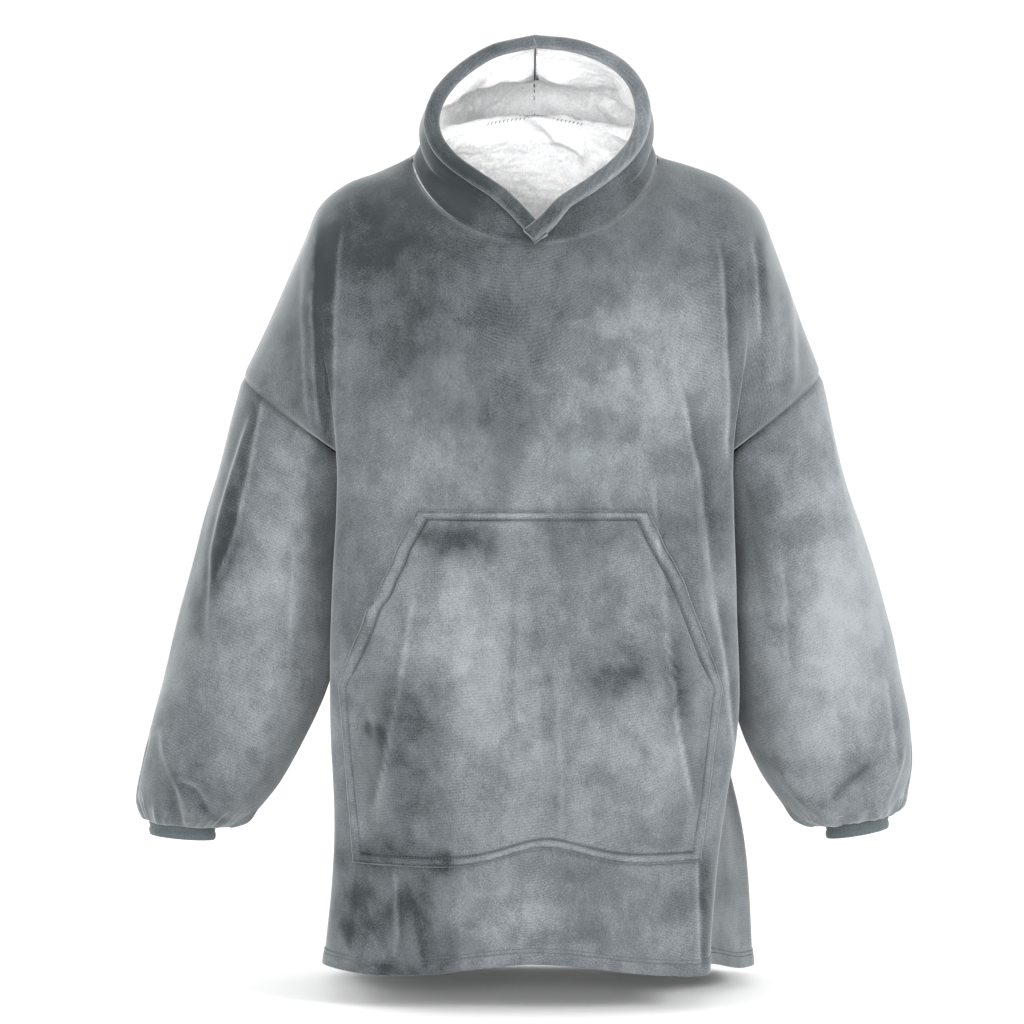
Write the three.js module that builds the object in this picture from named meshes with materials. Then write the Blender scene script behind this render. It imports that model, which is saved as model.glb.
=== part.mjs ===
// A wearable blanket hoodie, filled out as it hangs on a wearer with the hood up: an oversized
// body with drop shoulders, blouson sleeves gathered into short cuffs, a two-piece hood with a
// turned edge and a pale pile lining, and one large kangaroo pocket.
// Millimetres. The origin lies between the two shoulder points of the neck seam. X runs to the
// wearer's left, Y to the back and Z up, so the front faces -Y.
import * as THREE from "three";

// Cloth
const SHELL_WALL = 3;
const LINING_WALL = 2.5;
const SEAM_GAP = 0.3;
const LINING_GAP = { hood: 3.2, back: 0.8 };
const LINING_INSET = 0.8;
// Longest mitre of a seam, in walls, and the cosine above which sewn pieces run on smoothly
const MOST_MITRE = 1.5;
const RUNS_ON = 0.5;

// Grid: steps across half a panel's neck, across the rest of that half, and down the panel
const NECK_STEPS = 6;
const SHOULDER_STEPS = 10;
const YOKE_STEPS = 12;
const SKIRT_STEPS = 12;
// Rows of the back panel that the lining covers
const LINING_ROWS = 7;

// Neck seam
const NECK_HALF_WIDTH = 133;
const NECK_FRONT = 119;
const NECK_BACK = 95;
const SHOULDER_POINT_Y = -4;
const NECK_DROP = 97;
const NAPE_RISE = 46;
// How soon the seam leaves its lowest and its highest point
const NECK_DROP_ROUND = 1.25;
const NAPE_RISE_ROUND = 1.6;
// Share of a half panel's top edge that is neck; the rest is the shoulder line
const NECK_SHARE = 0.385;

// Levels of the body, all below the origin
const ARMPIT_Z = -345;
const HEM_Z = -886;
// The front hem hangs higher than the back, and dips either side of the middle
const HEM_RISE = 26;
const HEM_WAVE = 8;
const HEM_WAVE_SHARE = 0.5;
// Where the hem reaches the side seams, and the shares of a half panel over which it gets there
const HEM_SIDE_Z = { right: -868, left: -882 };
const HEM_SIDE = { front: { from: 0.6, to: 0.95 }, back: { from: 0.7, to: 1 } };

// Shoulder lines from the neck to the top of the armhole
const SHOULDER_LINES = {
  right: [
    { out: NECK_HALF_WIDTH, y: SHOULDER_POINT_Y, z: 0 },
    { out: 162, y: -1, z: -14 },
    { out: 201, y: 0, z: -28 },
    { out: 232, y: 0, z: -52 },
    { out: 250, y: 1, z: -92 },
    { out: 288, y: 2, z: -178 },
    { out: 317, y: 4, z: -238 },
  ],
  left: [
    { out: NECK_HALF_WIDTH, y: SHOULDER_POINT_Y, z: 0 },
    { out: 168, y: -1, z: -10 },
    { out: 206, y: 0, z: -25 },
    { out: 240, y: 0, z: -53 },
    { out: 258, y: 1, z: -95 },
    { out: 288, y: 2, z: -178 },
    { out: 310, y: 4, z: -234 },
  ],
};

// Rings of the body below the armpit. Half a ring runs from the middle of the front round the
// front lobe's corner, into the return under the arm, to the side seam, and out again to the
// back lobe's corner and the middle of the back. Y values are distances from the middle plane.
const BODY_RINGS = {
  right: [
    { z: -886, front: 166, cornerX: 226, cornerY: 94, returnX: 224, returnY: 42, seamX: 228, seamY: 6,
      backReturnX: 226, backReturnY: 56, backCornerX: 216, backCornerY: 104, back: 152 },
    { z: -740, front: 164, cornerX: 213, cornerY: 101, returnX: 203, returnY: 44, seamX: 196, seamY: 6,
      backReturnX: 204, backReturnY: 52, backCornerX: 212, backCornerY: 102, back: 146 },
    { z: -600, front: 160, cornerX: 218, cornerY: 99, returnX: 194, returnY: 38, seamX: 168, seamY: 6,
      backReturnX: 188, backReturnY: 44, backCornerX: 207, backCornerY: 98, back: 139 },
    { z: -480, front: 155, cornerX: 216, cornerY: 97, returnX: 184, returnY: 36, seamX: 164, seamY: 6,
      backReturnX: 180, backReturnY: 42, backCornerX: 204, backCornerY: 96, back: 133 },
    { z: -345, front: 149, cornerX: 211, cornerY: 92, returnX: 184, returnY: 46, seamX: 184, seamY: 5,
      backReturnX: 184, backReturnY: 48, backCornerX: 200, backCornerY: 91, back: 128 },
  ],
  left: [
    { z: -886, front: 166, cornerX: 178, cornerY: 134, returnX: 186, returnY: 74, seamX: 240, seamY: 14,
      backReturnX: 238, backReturnY: 52, backCornerX: 222, backCornerY: 104, back: 152 },
    { z: -740, front: 164, cornerX: 192, cornerY: 120, returnX: 189, returnY: 66, seamX: 229, seamY: 8,
      backReturnX: 226, backReturnY: 50, backCornerX: 217, backCornerY: 102, back: 146 },
    { z: -600, front: 160, cornerX: 214, cornerY: 104, returnX: 198, returnY: 44, seamX: 194, seamY: 6,
      backReturnX: 200, backReturnY: 46, backCornerX: 210, backCornerY: 98, back: 139 },
    { z: -480, front: 155, cornerX: 213, cornerY: 98, returnX: 184, returnY: 36, seamX: 164, seamY: 6,
      backReturnX: 180, backReturnY: 42, backCornerX: 204, backCornerY: 96, back: 133 },
    { z: -345, front: 149, cornerX: 209, cornerY: 92, returnX: 184, returnY: 46, seamX: 184, seamY: 5,
      backReturnX: 184, backReturnY: 48, backCornerX: 200, backCornerY: 91, back: 128 },
  ],
};

// Places across a lobe that its section passes, and how square it is
const LOBE_SHARES = [0.4, 0.75];
const LOBE_SQUARE = 3;

// Reach of a panel's columns from the shoulder before they turn down, and above the armpit
const REACH = {
  front: { neckOut: 28, neckDown: 75, shoulderOut: 76, shoulderDown: 24, armOut: 112, armDown: 10 },
  back: { neckOut: 22, neckDown: 60, shoulderOut: 70, shoulderDown: 22, armOut: 106, armDown: 10 },
};
const CHEST_REACH = 150;
// Columns fan out by this much from the shoulder point of the neck
const FAN = 62;
// Share of the shoulder line by which the columns have settled to their reach over the arm
const FAN_SHARE = 0.4;
// Share of the half panel where its columns start to wrap the arm and not the chest
const ARM_STARTS = 0.6;

// Sleeve sections below the armhole: centre, half width across, half depth, and the tilt of the
// section's outer side above level, in degrees
const SLEEVE_SECTIONS = {
  right: [
    { out: 277, y: 8, z: -388, wide: 78, deep: 80, tilt: 24 },
    { out: 290, y: 4, z: -481, wide: 87, deep: 80, tilt: 14 },
    { out: 311, y: 0, z: -560, wide: 87, deep: 80, tilt: 13 },
    { out: 334, y: -6, z: -620, wide: 82, deep: 77, tilt: 13 },
    { out: 354, y: -10, z: -668, wide: 75, deep: 70, tilt: 11 },
    { out: 367, y: -13, z: -697, wide: 65, deep: 58, tilt: 8 },
    { out: 372, y: -14, z: -714, wide: 54, deep: 47, tilt: 5 },
  ],
  left: [
    { out: 272, y: 8, z: -388, wide: 73, deep: 80, tilt: 22 },
    { out: 287, y: 4, z: -481, wide: 87, deep: 80, tilt: 12 },
    { out: 303, y: 0, z: -560, wide: 92, deep: 81, tilt: 9 },
    { out: 318, y: -6, z: -622, wide: 90, deep: 78, tilt: 8 },
    { out: 331, y: -10, z: -672, wide: 79, deep: 70, tilt: 6 },
    { out: 337, y: -13, z: -695, wide: 66, deep: 58, tilt: 6 },
    { out: 341, y: -14, z: -710, wide: 55, deep: 48, tilt: 7 },
  ],
};
const SLEEVE_STEPS = 14;
// The gathered end turns under and back up to the cuff seam
const GATHERS = 6;
const GATHER_DEPTH = 0.14;
const GATHER_PHASE = 0.6;
const GATHER_STARTS = 0.72;
const GATHER_SWELL = 0.7;
// Where the sleeve turns under, beyond the cuff's own half widths
const TURN = { wide: 7, deep: 9 };

// Cuffs: their lower edge, the length that shows, and how far they narrow inside the sleeve
const CUFFS = {
  right: { out: 383, y: -14, z: -736, wide: 36, deep: 26, tilt: 5 },
  left: { out: 350, y: -14, z: -732, wide: 34.5, deep: 26, tilt: 9.5 },
};
const CUFF_SHOWN = 14;
const CUFF_LENGTH = 30;
const CUFF_WAIST = 0.86;
const CUFF_EDGE = 0.985;
const CUFF_SEAM_ROOM = 0.02;
const CUFF_ROWS = [
  { up: CUFF_LENGTH, grow: CUFF_WAIST },
  { up: CUFF_SHOWN + 2, grow: 1 },
  { up: 0, grow: CUFF_EDGE },
];

// Hood edge, measured in the leaning plane of the face opening
const RIM_LEAN = THREE.MathUtils.degToRad(32.6);
const RIM_OUTLINES = {
  right: [
    { out: 0, up: 0 },
    { out: 20, up: 29 },
    { out: 45, up: 58 },
    { out: 72, up: 80 },
    { out: 98, up: 104 },
    { out: 113, up: 129 },
    { out: 118, up: 156 },
    { out: 110, up: 190 },
    { out: 91, up: 220 },
    { out: 50, up: 254 },
    { out: 0, up: 269 },
  ],
  left: [
    { out: 0, up: 0 },
    { out: 20, up: 21 },
    { out: 39, up: 48 },
    { out: 64, up: 68 },
    { out: 90, up: 92 },
    { out: 112, up: 122 },
    { out: 122, up: 158 },
    { out: 117, up: 200 },
    { out: 95, up: 235 },
    { out: 50, up: 261 },
    { out: 0, up: 269 },
  ],
};
// Centre seam of the hood, back from the hood edge and up from the nape, meeting at the crown
const CROWN_LINE = [
  { y: 47, z: 121 },
  { y: 80, z: 98 },
  { y: 120, z: 110 },
];
const CROWN = { y: 176, z: 116 };
const NAPE_LINE = [
  { y: 127, z: 26 },
  { y: 165, z: 0 },
  { y: 205, z: 6 },
  { y: 226, z: 44 },
  { y: 217, z: 88 },
];
// How far the hood's sides stand in, forward and up above the neck seam, and how soon (under 1)
const HOOD_STAND = { in: 8, forward: 8, up: 10, soon: 0.65 };
// How far the sides are lifted about one height, which keeps them from folding over themselves
const HOOD_SWELL = { up: 42, at: 0.46, spread: 0.26, clear: 0.1 };
const HOOD_HALF_WIDTH = { low: 123, high: 106, from: 0.3, to: 0.7 };
// Where the hood reaches its full roundness, back from its edge and up from the neck seam
const HOOD_FULL = { from: 0.05, back: 0.5, up: 0.45 };
const HOOD_STEPS = 10;

// Turned hem round the face opening
const BAND_WIDTH = 17;
const BAND_THICK = 7;
const BAND_STEPS = 20;
// Its section: distances in from the hood edge, and out of the opening's plane
const BAND_SECTION = [
  { in: -1.5, out: 0.6 },
  { in: -1.5, out: 4 },
  { in: 3, out: BAND_THICK },
  { in: BAND_WIDTH * 0.55, out: BAND_THICK },
  { in: BAND_WIDTH - 3.5, out: BAND_THICK - 1 },
  { in: BAND_WIDTH - 1.5, out: 3.5 },
  { in: BAND_WIDTH - 3, out: 0.6 },
  { in: BAND_WIDTH * 0.45, out: 0.6 },
];
// Share of half the opening where the two ends lie one over the other
const BAND_CROSSES = 0.09;
const BAND_LIFT = BAND_THICK + 1;
const BAND_TUCK = 3;

// Kangaroo pocket: half widths at its foot, its widest level and its top, with straight sides
// between them, and how far it stands off the front
const POCKET_OUTLINE = [
  { z: -744, right: 191, left: 171 },
  { z: -564, right: 205, left: 194 },
  { z: -379, right: 123, left: 116 },
];
const POCKET_COLUMNS = 20;
const POCKET_ROWS = 14;
const POCKET_SEWN = 1;
const POCKET_ROOM = 15;
const POCKET_MOUTH = 9;
const POCKET_EASE = 70;
const POCKET_MOUTH_EASE = 60;
const POCKET_WIDTH = 360;
// The mouths open over this height, about the pocket's widest level
const POCKET_OPENS = { from: -573, to: -523 };
// Its foot, which lifts over the middle fold and toward the wearer's left
const POCKET_FOOT = { z: -749, lift: 21, liftAt: 0.56, liftWidth: 0.16, sideLift: 4, sideFrom: 0.6 };

// A fold fades where the cloth turns away, between these distances from the middle plane, and
// past its ends, as shares of its length
const FOLD_TURNS = { from: 6, to: 45 };
const FOLD_ENDS = { from: -0.1, full: 0.25, fades: 0.85, to: 1.2 };
// Large folds, as lines down the front or back. Depth is outward, and each side has its own width
const FOLDS = [
  { face: "front", x0: -204, z0: -58, x1: -210, z1: -335, depth: 13, toRight: 13, toLeft: 60 },
  { face: "front", x0: 203, z0: -72, x1: 210, z1: -335, depth: 12, toRight: 60, toLeft: 12 },
  { face: "front", x0: -238, z0: -62, x1: -232, z1: -290, depth: 12, toRight: 9, toLeft: 22 },
  { face: "front", x0: 246, z0: -85, x1: 250, z1: -260, depth: 10, toRight: 24, toLeft: 10 },
  { face: "front", x0: 154, z0: -250, x1: 196, z1: -560, depth: 8, toRight: 16, toLeft: 42 },
  { face: "front", x0: 129, z0: -400, x1: 160, z1: -680, depth: 6, toRight: 17, toLeft: 24 },
  { face: "front", x0: -127, z0: -455, x1: -160, z1: -680, depth: 6, toRight: 26, toLeft: 18 },
  { face: "front", x0: -4, z0: -440, x1: 12, z1: -690, depth: -7, toRight: 20, toLeft: 20 },
  { face: "front", x0: 38, z0: -480, x1: 44, z1: -800, depth: 5, toRight: 22, toLeft: 20 },
  { face: "front", x0: -205, z0: -600, x1: -150, z1: -880, depth: -6, toRight: 20, toLeft: 20 },
  { face: "back", x0: -150, z0: -150, x1: -176, z1: -560, depth: 10, toRight: 40, toLeft: 15 },
  { face: "back", x0: 158, z0: -180, x1: 172, z1: -520, depth: 9, toRight: 15, toLeft: 42 },
  { face: "back", x0: -60, z0: -470, x1: -80, z1: -880, depth: 8, toRight: 30, toLeft: 24 },
  { face: "back", x0: 20, z0: -380, x1: 36, z1: -880, depth: -7, toRight: 26, toLeft: 26 },
  { face: "back", x0: 96, z0: -520, x1: 120, z1: -880, depth: 8, toRight: 22, toLeft: 34 },
  { face: "back", x0: -236, z0: -80, x1: -236, z1: -290, depth: 9, toRight: 12, toLeft: 22 },
];

const SIDES = ["right", "left"];
const sign = (side) => (side === "right" ? -1 : 1);
const vec = (x, y, z) => new THREE.Vector3(x, y, z);
const { lerp, smoothstep } = THREE.MathUtils;

// Smooth value of one column of a table whose rows rise in `key`
function columnAt(rows, key, at, column) {
  const last = rows.length - 1;
  const clamped = Math.min(Math.max(at, rows[0][key]), rows[last][key]);
  let i = 0;
  while (i < last - 1 && clamped > rows[i + 1][key]) i += 1;
  const slope = (k) => {
    const a = rows[Math.max(k - 1, 0)];
    const b = rows[Math.min(k + 1, last)];
    return (b[column] - a[column]) / (b[key] - a[key]);
  };
  const step = rows[i + 1][key] - rows[i][key];
  const t = (clamped - rows[i][key]) / step;
  const t2 = t * t;
  const t3 = t2 * t;
  return (
    (2 * t3 - 3 * t2 + 1) * rows[i][column] +
    (t3 - 2 * t2 + t) * step * slope(i) +
    (3 * t2 - 2 * t3) * rows[i + 1][column] +
    (t3 - t2) * step * slope(i + 1)
  );
}

// Moves a point of the front or back outward where a large fold passes
function folded(point, face) {
  const facing = face === "front" ? -1 : 1;
  const turnedAway = smoothstep(point.y * facing, FOLD_TURNS.from, FOLD_TURNS.to);
  let rise = 0;
  for (const fold of FOLDS.filter((f) => f.face === face)) {
    const down = (point.z - fold.z0) / (fold.z1 - fold.z0);
    const across = point.x - lerp(fold.x0, fold.x1, THREE.MathUtils.clamp(down, 0, 1));
    const width = across > 0 ? fold.toRight : fold.toLeft;
    const starts = smoothstep(down, FOLD_ENDS.from, FOLD_ENDS.full);
    const stops = smoothstep(down, FOLD_ENDS.fades, FOLD_ENDS.to);
    rise += fold.depth * starts * (1 - stops) * Math.exp(-((across / width) ** 2));
  }
  return vec(point.x, point.y + facing * rise * turnedAway, point.z);
}

// Point of the neck seam, from the middle (angle 0) to the shoulder point (a quarter turn)
function neckPoint(face, side, angle) {
  const reach = face === "front" ? -NECK_FRONT : NECK_BACK;
  const drop = -NECK_DROP * Math.cos(angle) ** NECK_DROP_ROUND;
  const height = face === "front" ? drop : NAPE_RISE * Math.cos(angle) ** NAPE_RISE_ROUND;
  return vec(
    sign(side) * NECK_HALF_WIDTH * Math.sin(angle),
    lerp(SHOULDER_POINT_Y, reach, Math.cos(angle)),
    height,
  );
}

const shoulderCurve = (side) =>
  new THREE.CatmullRomCurve3(SHOULDER_LINES[side].map((p) => vec(sign(side) * p.out, p.y, p.z)));
const SHOULDER_CURVES = { right: shoulderCurve("right"), left: shoulderCurve("left") };

// Point of a half panel's top edge at a share of it from the middle
function topPoint(face, side, share) {
  if (share < NECK_SHARE) return neckPoint(face, side, (share / NECK_SHARE) * (Math.PI / 2));
  return SHOULDER_CURVES[side].getPointAt((share - NECK_SHARE) / (1 - NECK_SHARE));
}

// Half a ring of the body at one level, from the middle of a face to the side seam
function ringCurve(face, side, z) {
  const at = (column) => columnAt(BODY_RINGS[side], "z", z, column);
  const front = face === "front";
  const s = sign(side);
  const f = front ? -1 : 1;
  const middle = at(front ? "front" : "back");
  const cornerX = at(front ? "cornerX" : "backCornerX");
  const cornerY = at(front ? "cornerY" : "backCornerY");
  const lobe = (share) => vec(s * cornerX * share, f * lerp(middle, cornerY, share ** LOBE_SQUARE), z);
  return new THREE.CatmullRomCurve3([
    vec(0, f * middle, z),
    ...LOBE_SHARES.map(lobe),
    vec(s * cornerX, f * cornerY, z),
    vec(s * at(front ? "returnX" : "backReturnX"), f * at(front ? "returnY" : "backReturnY"), z),
    vec(s * at("seamX"), at("seamY"), z),
  ]);
}

// Column of a half panel from its top edge to the armpit level
function yokeCurve(face, side, share, foot) {
  const reach = REACH[face];
  const facing = face === "front" ? -1 : 1;
  const head = topPoint(face, side, share);
  const neck = smoothstep(share / NECK_SHARE, 0, 1);
  const arm = Math.max((share - NECK_SHARE) / (1 - NECK_SHARE), 0);
  const settled = smoothstep(arm, 0, FAN_SHARE);
  const out = lerp(lerp(reach.neckOut, reach.shoulderOut, neck), reach.armOut, settled);
  const down = lerp(lerp(reach.neckDown, reach.shoulderDown, neck), reach.armDown, arm);
  const aside = sign(side) * FAN * neck * (1 - settled);
  const wrap = smoothstep(share, ARM_STARTS, 1);
  const headHandle = head.clone().add(vec(aside, facing * out, -down));
  const footHandle = foot
    .clone()
    .add(vec(0, facing * reach.armOut * wrap, lerp(CHEST_REACH, reach.armDown, wrap)));
  return new THREE.CubicBezierCurve3(head, headHandle, footHandle, foot);
}

// Shares of a half panel at its grid columns, and how far down it its rows are
const shares = [];
for (let i = 0; i <= NECK_STEPS; i += 1) shares.push((NECK_SHARE * i) / NECK_STEPS);
for (let i = 1; i <= SHOULDER_STEPS; i += 1) {
  shares.push(lerp(NECK_SHARE, 1, i / SHOULDER_STEPS));
}

// Level of the hem at a share of half a panel from the middle
function hemLevel(face, side, share) {
  const wave = HEM_WAVE * Math.cos((Math.PI * share) / HEM_WAVE_SHARE);
  const level = face === "back" ? HEM_Z : HEM_Z + HEM_RISE + wave;
  return lerp(level, HEM_SIDE_Z[side], smoothstep(share, HEM_SIDE[face].from, HEM_SIDE[face].to));
}

// One column of a half panel, from the top edge to the hem
function panelColumn(face, side, share) {
  const foot = ringCurve(face, side, ARMPIT_Z).getPointAt(share);
  const yoke = yokeCurve(face, side, share, foot);
  const points = [];
  for (let j = 0; j <= YOKE_STEPS; j += 1) points.push(yoke.getPoint(j / YOKE_STEPS));
  for (let j = 1; j <= SKIRT_STEPS; j += 1) {
    const z = lerp(ARMPIT_Z, hemLevel(face, side, share), j / SKIRT_STEPS);
    points.push(ringCurve(face, side, z).getPointAt(share));
  }
  return points.map((p) => folded(p, face));
}

// A panel's columns from the wearer's right to the left
function panelGrid(face) {
  const right = shares.map((share) => panelColumn(face, "right", share)).reverse();
  const left = shares.slice(1).map((share) => panelColumn(face, "left", share));
  return [...right, ...left];
}

// Outward normals of a grid of points; `flip` turns them round
function gridNormals(grid, wraps, flip) {
  const n = grid.length;
  return grid.map((column, i) =>
    column.map((_, j) => {
      const before = wraps ? grid[(i + n - 1) % n] : grid[Math.max(i - 1, 0)];
      const after = wraps ? grid[(i + 1) % n] : grid[Math.min(i + 1, n - 1)];
      const across = after[j].clone().sub(before[j]);
      const down = column[Math.min(j + 1, column.length - 1)].clone().sub(column[Math.max(j - 1, 0)]);
      return across.cross(down).normalize().multiplyScalar(flip ? -1 : 1);
    }),
  );
}

// Draws the edges of a grid in, so that sewn pieces stay apart
function drawnIn(grid, wraps, inset) {
  const last = grid.length - 1;
  const toward = (p, q) => q.clone().sub(p).normalize().multiplyScalar(inset);
  return grid.map((column, i) =>
    column.map((p, j) => {
      const moved = p.clone();
      if (!wraps && i === 0) moved.add(toward(p, grid[1][j]));
      if (!wraps && i === last) moved.add(toward(p, grid[last - 1][j]));
      if (j === 0) moved.add(toward(p, column[1]));
      if (j === column.length - 1) moved.add(toward(p, column[j - 1]));
      return moved;
    }),
  );
}

// Points moved along their normals
const offset = (grid, normals, by) =>
  grid.map((column, i) => column.map((p, j) => p.clone().addScaledVector(normals[i][j], by)));

// Closed wall between two grids of the same size. Along its edges the diagonals start from the
// higher end, so that the edges of two sewn pieces split alike.
function wallGeometry(outer, inner, wraps) {
  const columns = outer.length;
  const rows = outer[0].length;
  const positions = [];
  for (const grid of [outer, inner]) {
    for (const column of grid) for (const p of column) positions.push(p.x, p.y, p.z);
  }
  const at = (layer, i, j) => layer * columns * rows + (i % columns) * rows + j;
  const index = [];
  const quad = (a, b, c, d) => index.push(a, b, c, a, c, d);
  const layer = columns * rows;
  const edge = (a, b) => {
    const falls = positions[3 * a + 2] > positions[3 * b + 2];
    if (falls) index.push(a, b, b + layer, a, b + layer, a + layer);
    else index.push(a, b, a + layer, b, b + layer, a + layer);
  };
  const spans = wraps ? columns : columns - 1;
  for (let i = 0; i < spans; i += 1) {
    for (let j = 0; j < rows - 1; j += 1) {
      quad(at(0, i, j), at(0, i, j + 1), at(0, i + 1, j + 1), at(0, i + 1, j));
      quad(at(1, i, j), at(1, i + 1, j), at(1, i + 1, j + 1), at(1, i, j + 1));
    }
    edge(at(0, i, 0), at(0, i + 1, 0));
    edge(at(0, i + 1, rows - 1), at(0, i, rows - 1));
  }
  for (let j = 0; j < rows - 1 && !wraps; j += 1) {
    edge(at(0, 0, j + 1), at(0, 0, j));
    edge(at(0, columns - 1, j), at(0, columns - 1, j + 1));
  }
  const geometry = new THREE.BufferGeometry();
  geometry.setAttribute("position", new THREE.BufferAttribute(new Float32Array(positions), 3));
  geometry.setIndex(signedVolume(positions, index) < 0 ? index.reverse() : index);
  geometry.computeVertexNormals();
  return geometry;
}

// Volume within a mesh, negative where its faces point inward
function signedVolume(positions, index) {
  const p = (k) => vec(positions[3 * k], positions[3 * k + 1], positions[3 * k + 2]);
  let six = 0;
  for (let k = 0; k < index.length; k += 3) six += p(index[k]).dot(p(index[k + 1]).cross(p(index[k + 2])));
  return six / 6;
}

// Gives sewn edges the mean normal of the pieces that meet there, longer where they fold sharply.
// Pieces that run on smoothly from each other count as one.
function shareSeamNormals(pieces) {
  const met = new Map();
  for (const { grid, normals, wraps } of pieces) {
    grid.forEach((column, i) =>
      column.forEach((p, j) => {
        const sewn = j === 0 || j === column.length - 1 || (!wraps && (i === 0 || i === grid.length - 1));
        if (!sewn) return;
        const place = [p.x, p.y, p.z].map((v) => v.toFixed(1).replace("-0.0", "0.0")).join();
        if (!met.has(place)) met.set(place, []);
        met.get(place).push(normals[i][j]);
      }),
    );
  }
  for (const meeting of met.values()) {
    if (meeting.length < 2) continue;
    const mean = vec(0, 0, 0);
    for (const normal of meeting) {
      const alike = meeting.filter((other) => other.dot(normal) > RUNS_ON).length;
      mean.addScaledVector(normal, 1 / alike);
    }
    mean.normalize();
    const least = Math.min(...meeting.map((normal) => normal.dot(mean)));
    mean.multiplyScalar(1 / Math.max(least, 1 / MOST_MITRE));
    for (const normal of meeting) normal.copy(mean);
  }
}

// Point of an oval section with its outer side tilted up
function ovalPoint(side, section, angle, grow) {
  const tilt = THREE.MathUtils.degToRad(section.tilt);
  const across = section.wide * grow * Math.cos(angle);
  return vec(
    sign(side) * (section.out + across * Math.cos(tilt)),
    section.y - section.deep * grow * Math.sin(angle),
    section.z + across * Math.sin(tilt),
  );
}

// Sleeve from the armhole to the cuff seam, one closed ring of columns
function sleeveGrid(side, panels) {
  const edge = (face) => {
    const grid = panels[face];
    return grid[side === "right" ? 0 : grid.length - 1].slice(0, YOKE_STEPS + 1);
  };
  const armhole = [...edge("front"), ...edge("back").slice(1, -1).reverse()];
  const around = armhole.length;
  const sections = SLEEVE_SECTIONS[side];
  const cuff = CUFFS[side];
  const end = sections[sections.length - 1];
  return armhole.map((start, k) => {
    const angle = (2 * Math.PI * k) / around;
    const gather = (GATHER_DEPTH / 2) * (1 + Math.cos(GATHERS * angle + GATHER_PHASE));
    const keys = sections.map((section) => ovalPoint(side, section, angle, 1));
    const keyCurve = new THREE.CatmullRomCurve3([start, ...keys]);
    const points = [];
    for (let j = 0; j <= SLEEVE_STEPS; j += 1) {
      const along = j / SLEEVE_STEPS;
      const axis = vec(sign(side) * end.out, end.y, end.z);
      const p = keyCurve.getPoint(along);
      const swell = gather * GATHER_SWELL * smoothstep(along, GATHER_STARTS, 1);
      points.push(p.add(p.clone().sub(axis).setZ(0).multiplyScalar(swell)));
    }
    const turn = {
      ...cuff,
      out: (end.out + cuff.out) / 2,
      z: cuff.z + CUFF_SHOWN,
      wide: cuff.wide + TURN.wide,
      deep: cuff.deep + TURN.deep,
    };
    points.push(ovalPoint(side, turn, angle, 1 + gather));
    const seam = { ...cuff, z: cuff.z + CUFF_LENGTH };
    points.push(ovalPoint(side, seam, angle, CUFF_WAIST + CUFF_SEAM_ROOM));
    return points;
  });
}

// Short tube that stands inside the turned sleeve end
function cuffGeometry(side, around) {
  const cuff = CUFFS[side];
  const ring = (thin) => {
    const grid = [];
    for (let k = 0; k < around; k += 1) {
      const angle = (2 * Math.PI * k) / around;
      grid.push(
        CUFF_ROWS.map(({ up, grow }) => {
          const wide = cuff.wide * grow - thin;
          const deep = cuff.deep * grow - thin;
          return ovalPoint(side, { ...cuff, wide, deep, z: cuff.z + up }, angle, 1);
        }),
      );
    }
    return grid;
  };
  return wallGeometry(ring(0), ring(SHELL_WALL), true);
}

// Frame of the face opening: up in its plane, and forward out of it
const OPENING_UP = vec(0, Math.sin(RIM_LEAN), Math.cos(RIM_LEAN));
const OPENING_FORWARD = vec(0, -Math.cos(RIM_LEAN), Math.sin(RIM_LEAN));
const rimPoint = (side, p) =>
  vec(sign(side) * p.out, -NECK_FRONT, -NECK_DROP).addScaledVector(OPENING_UP, p.up);
const rimCurve = (side) => new THREE.CatmullRomCurve3(RIM_OUTLINES[side].map((p) => rimPoint(side, p)));

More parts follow.
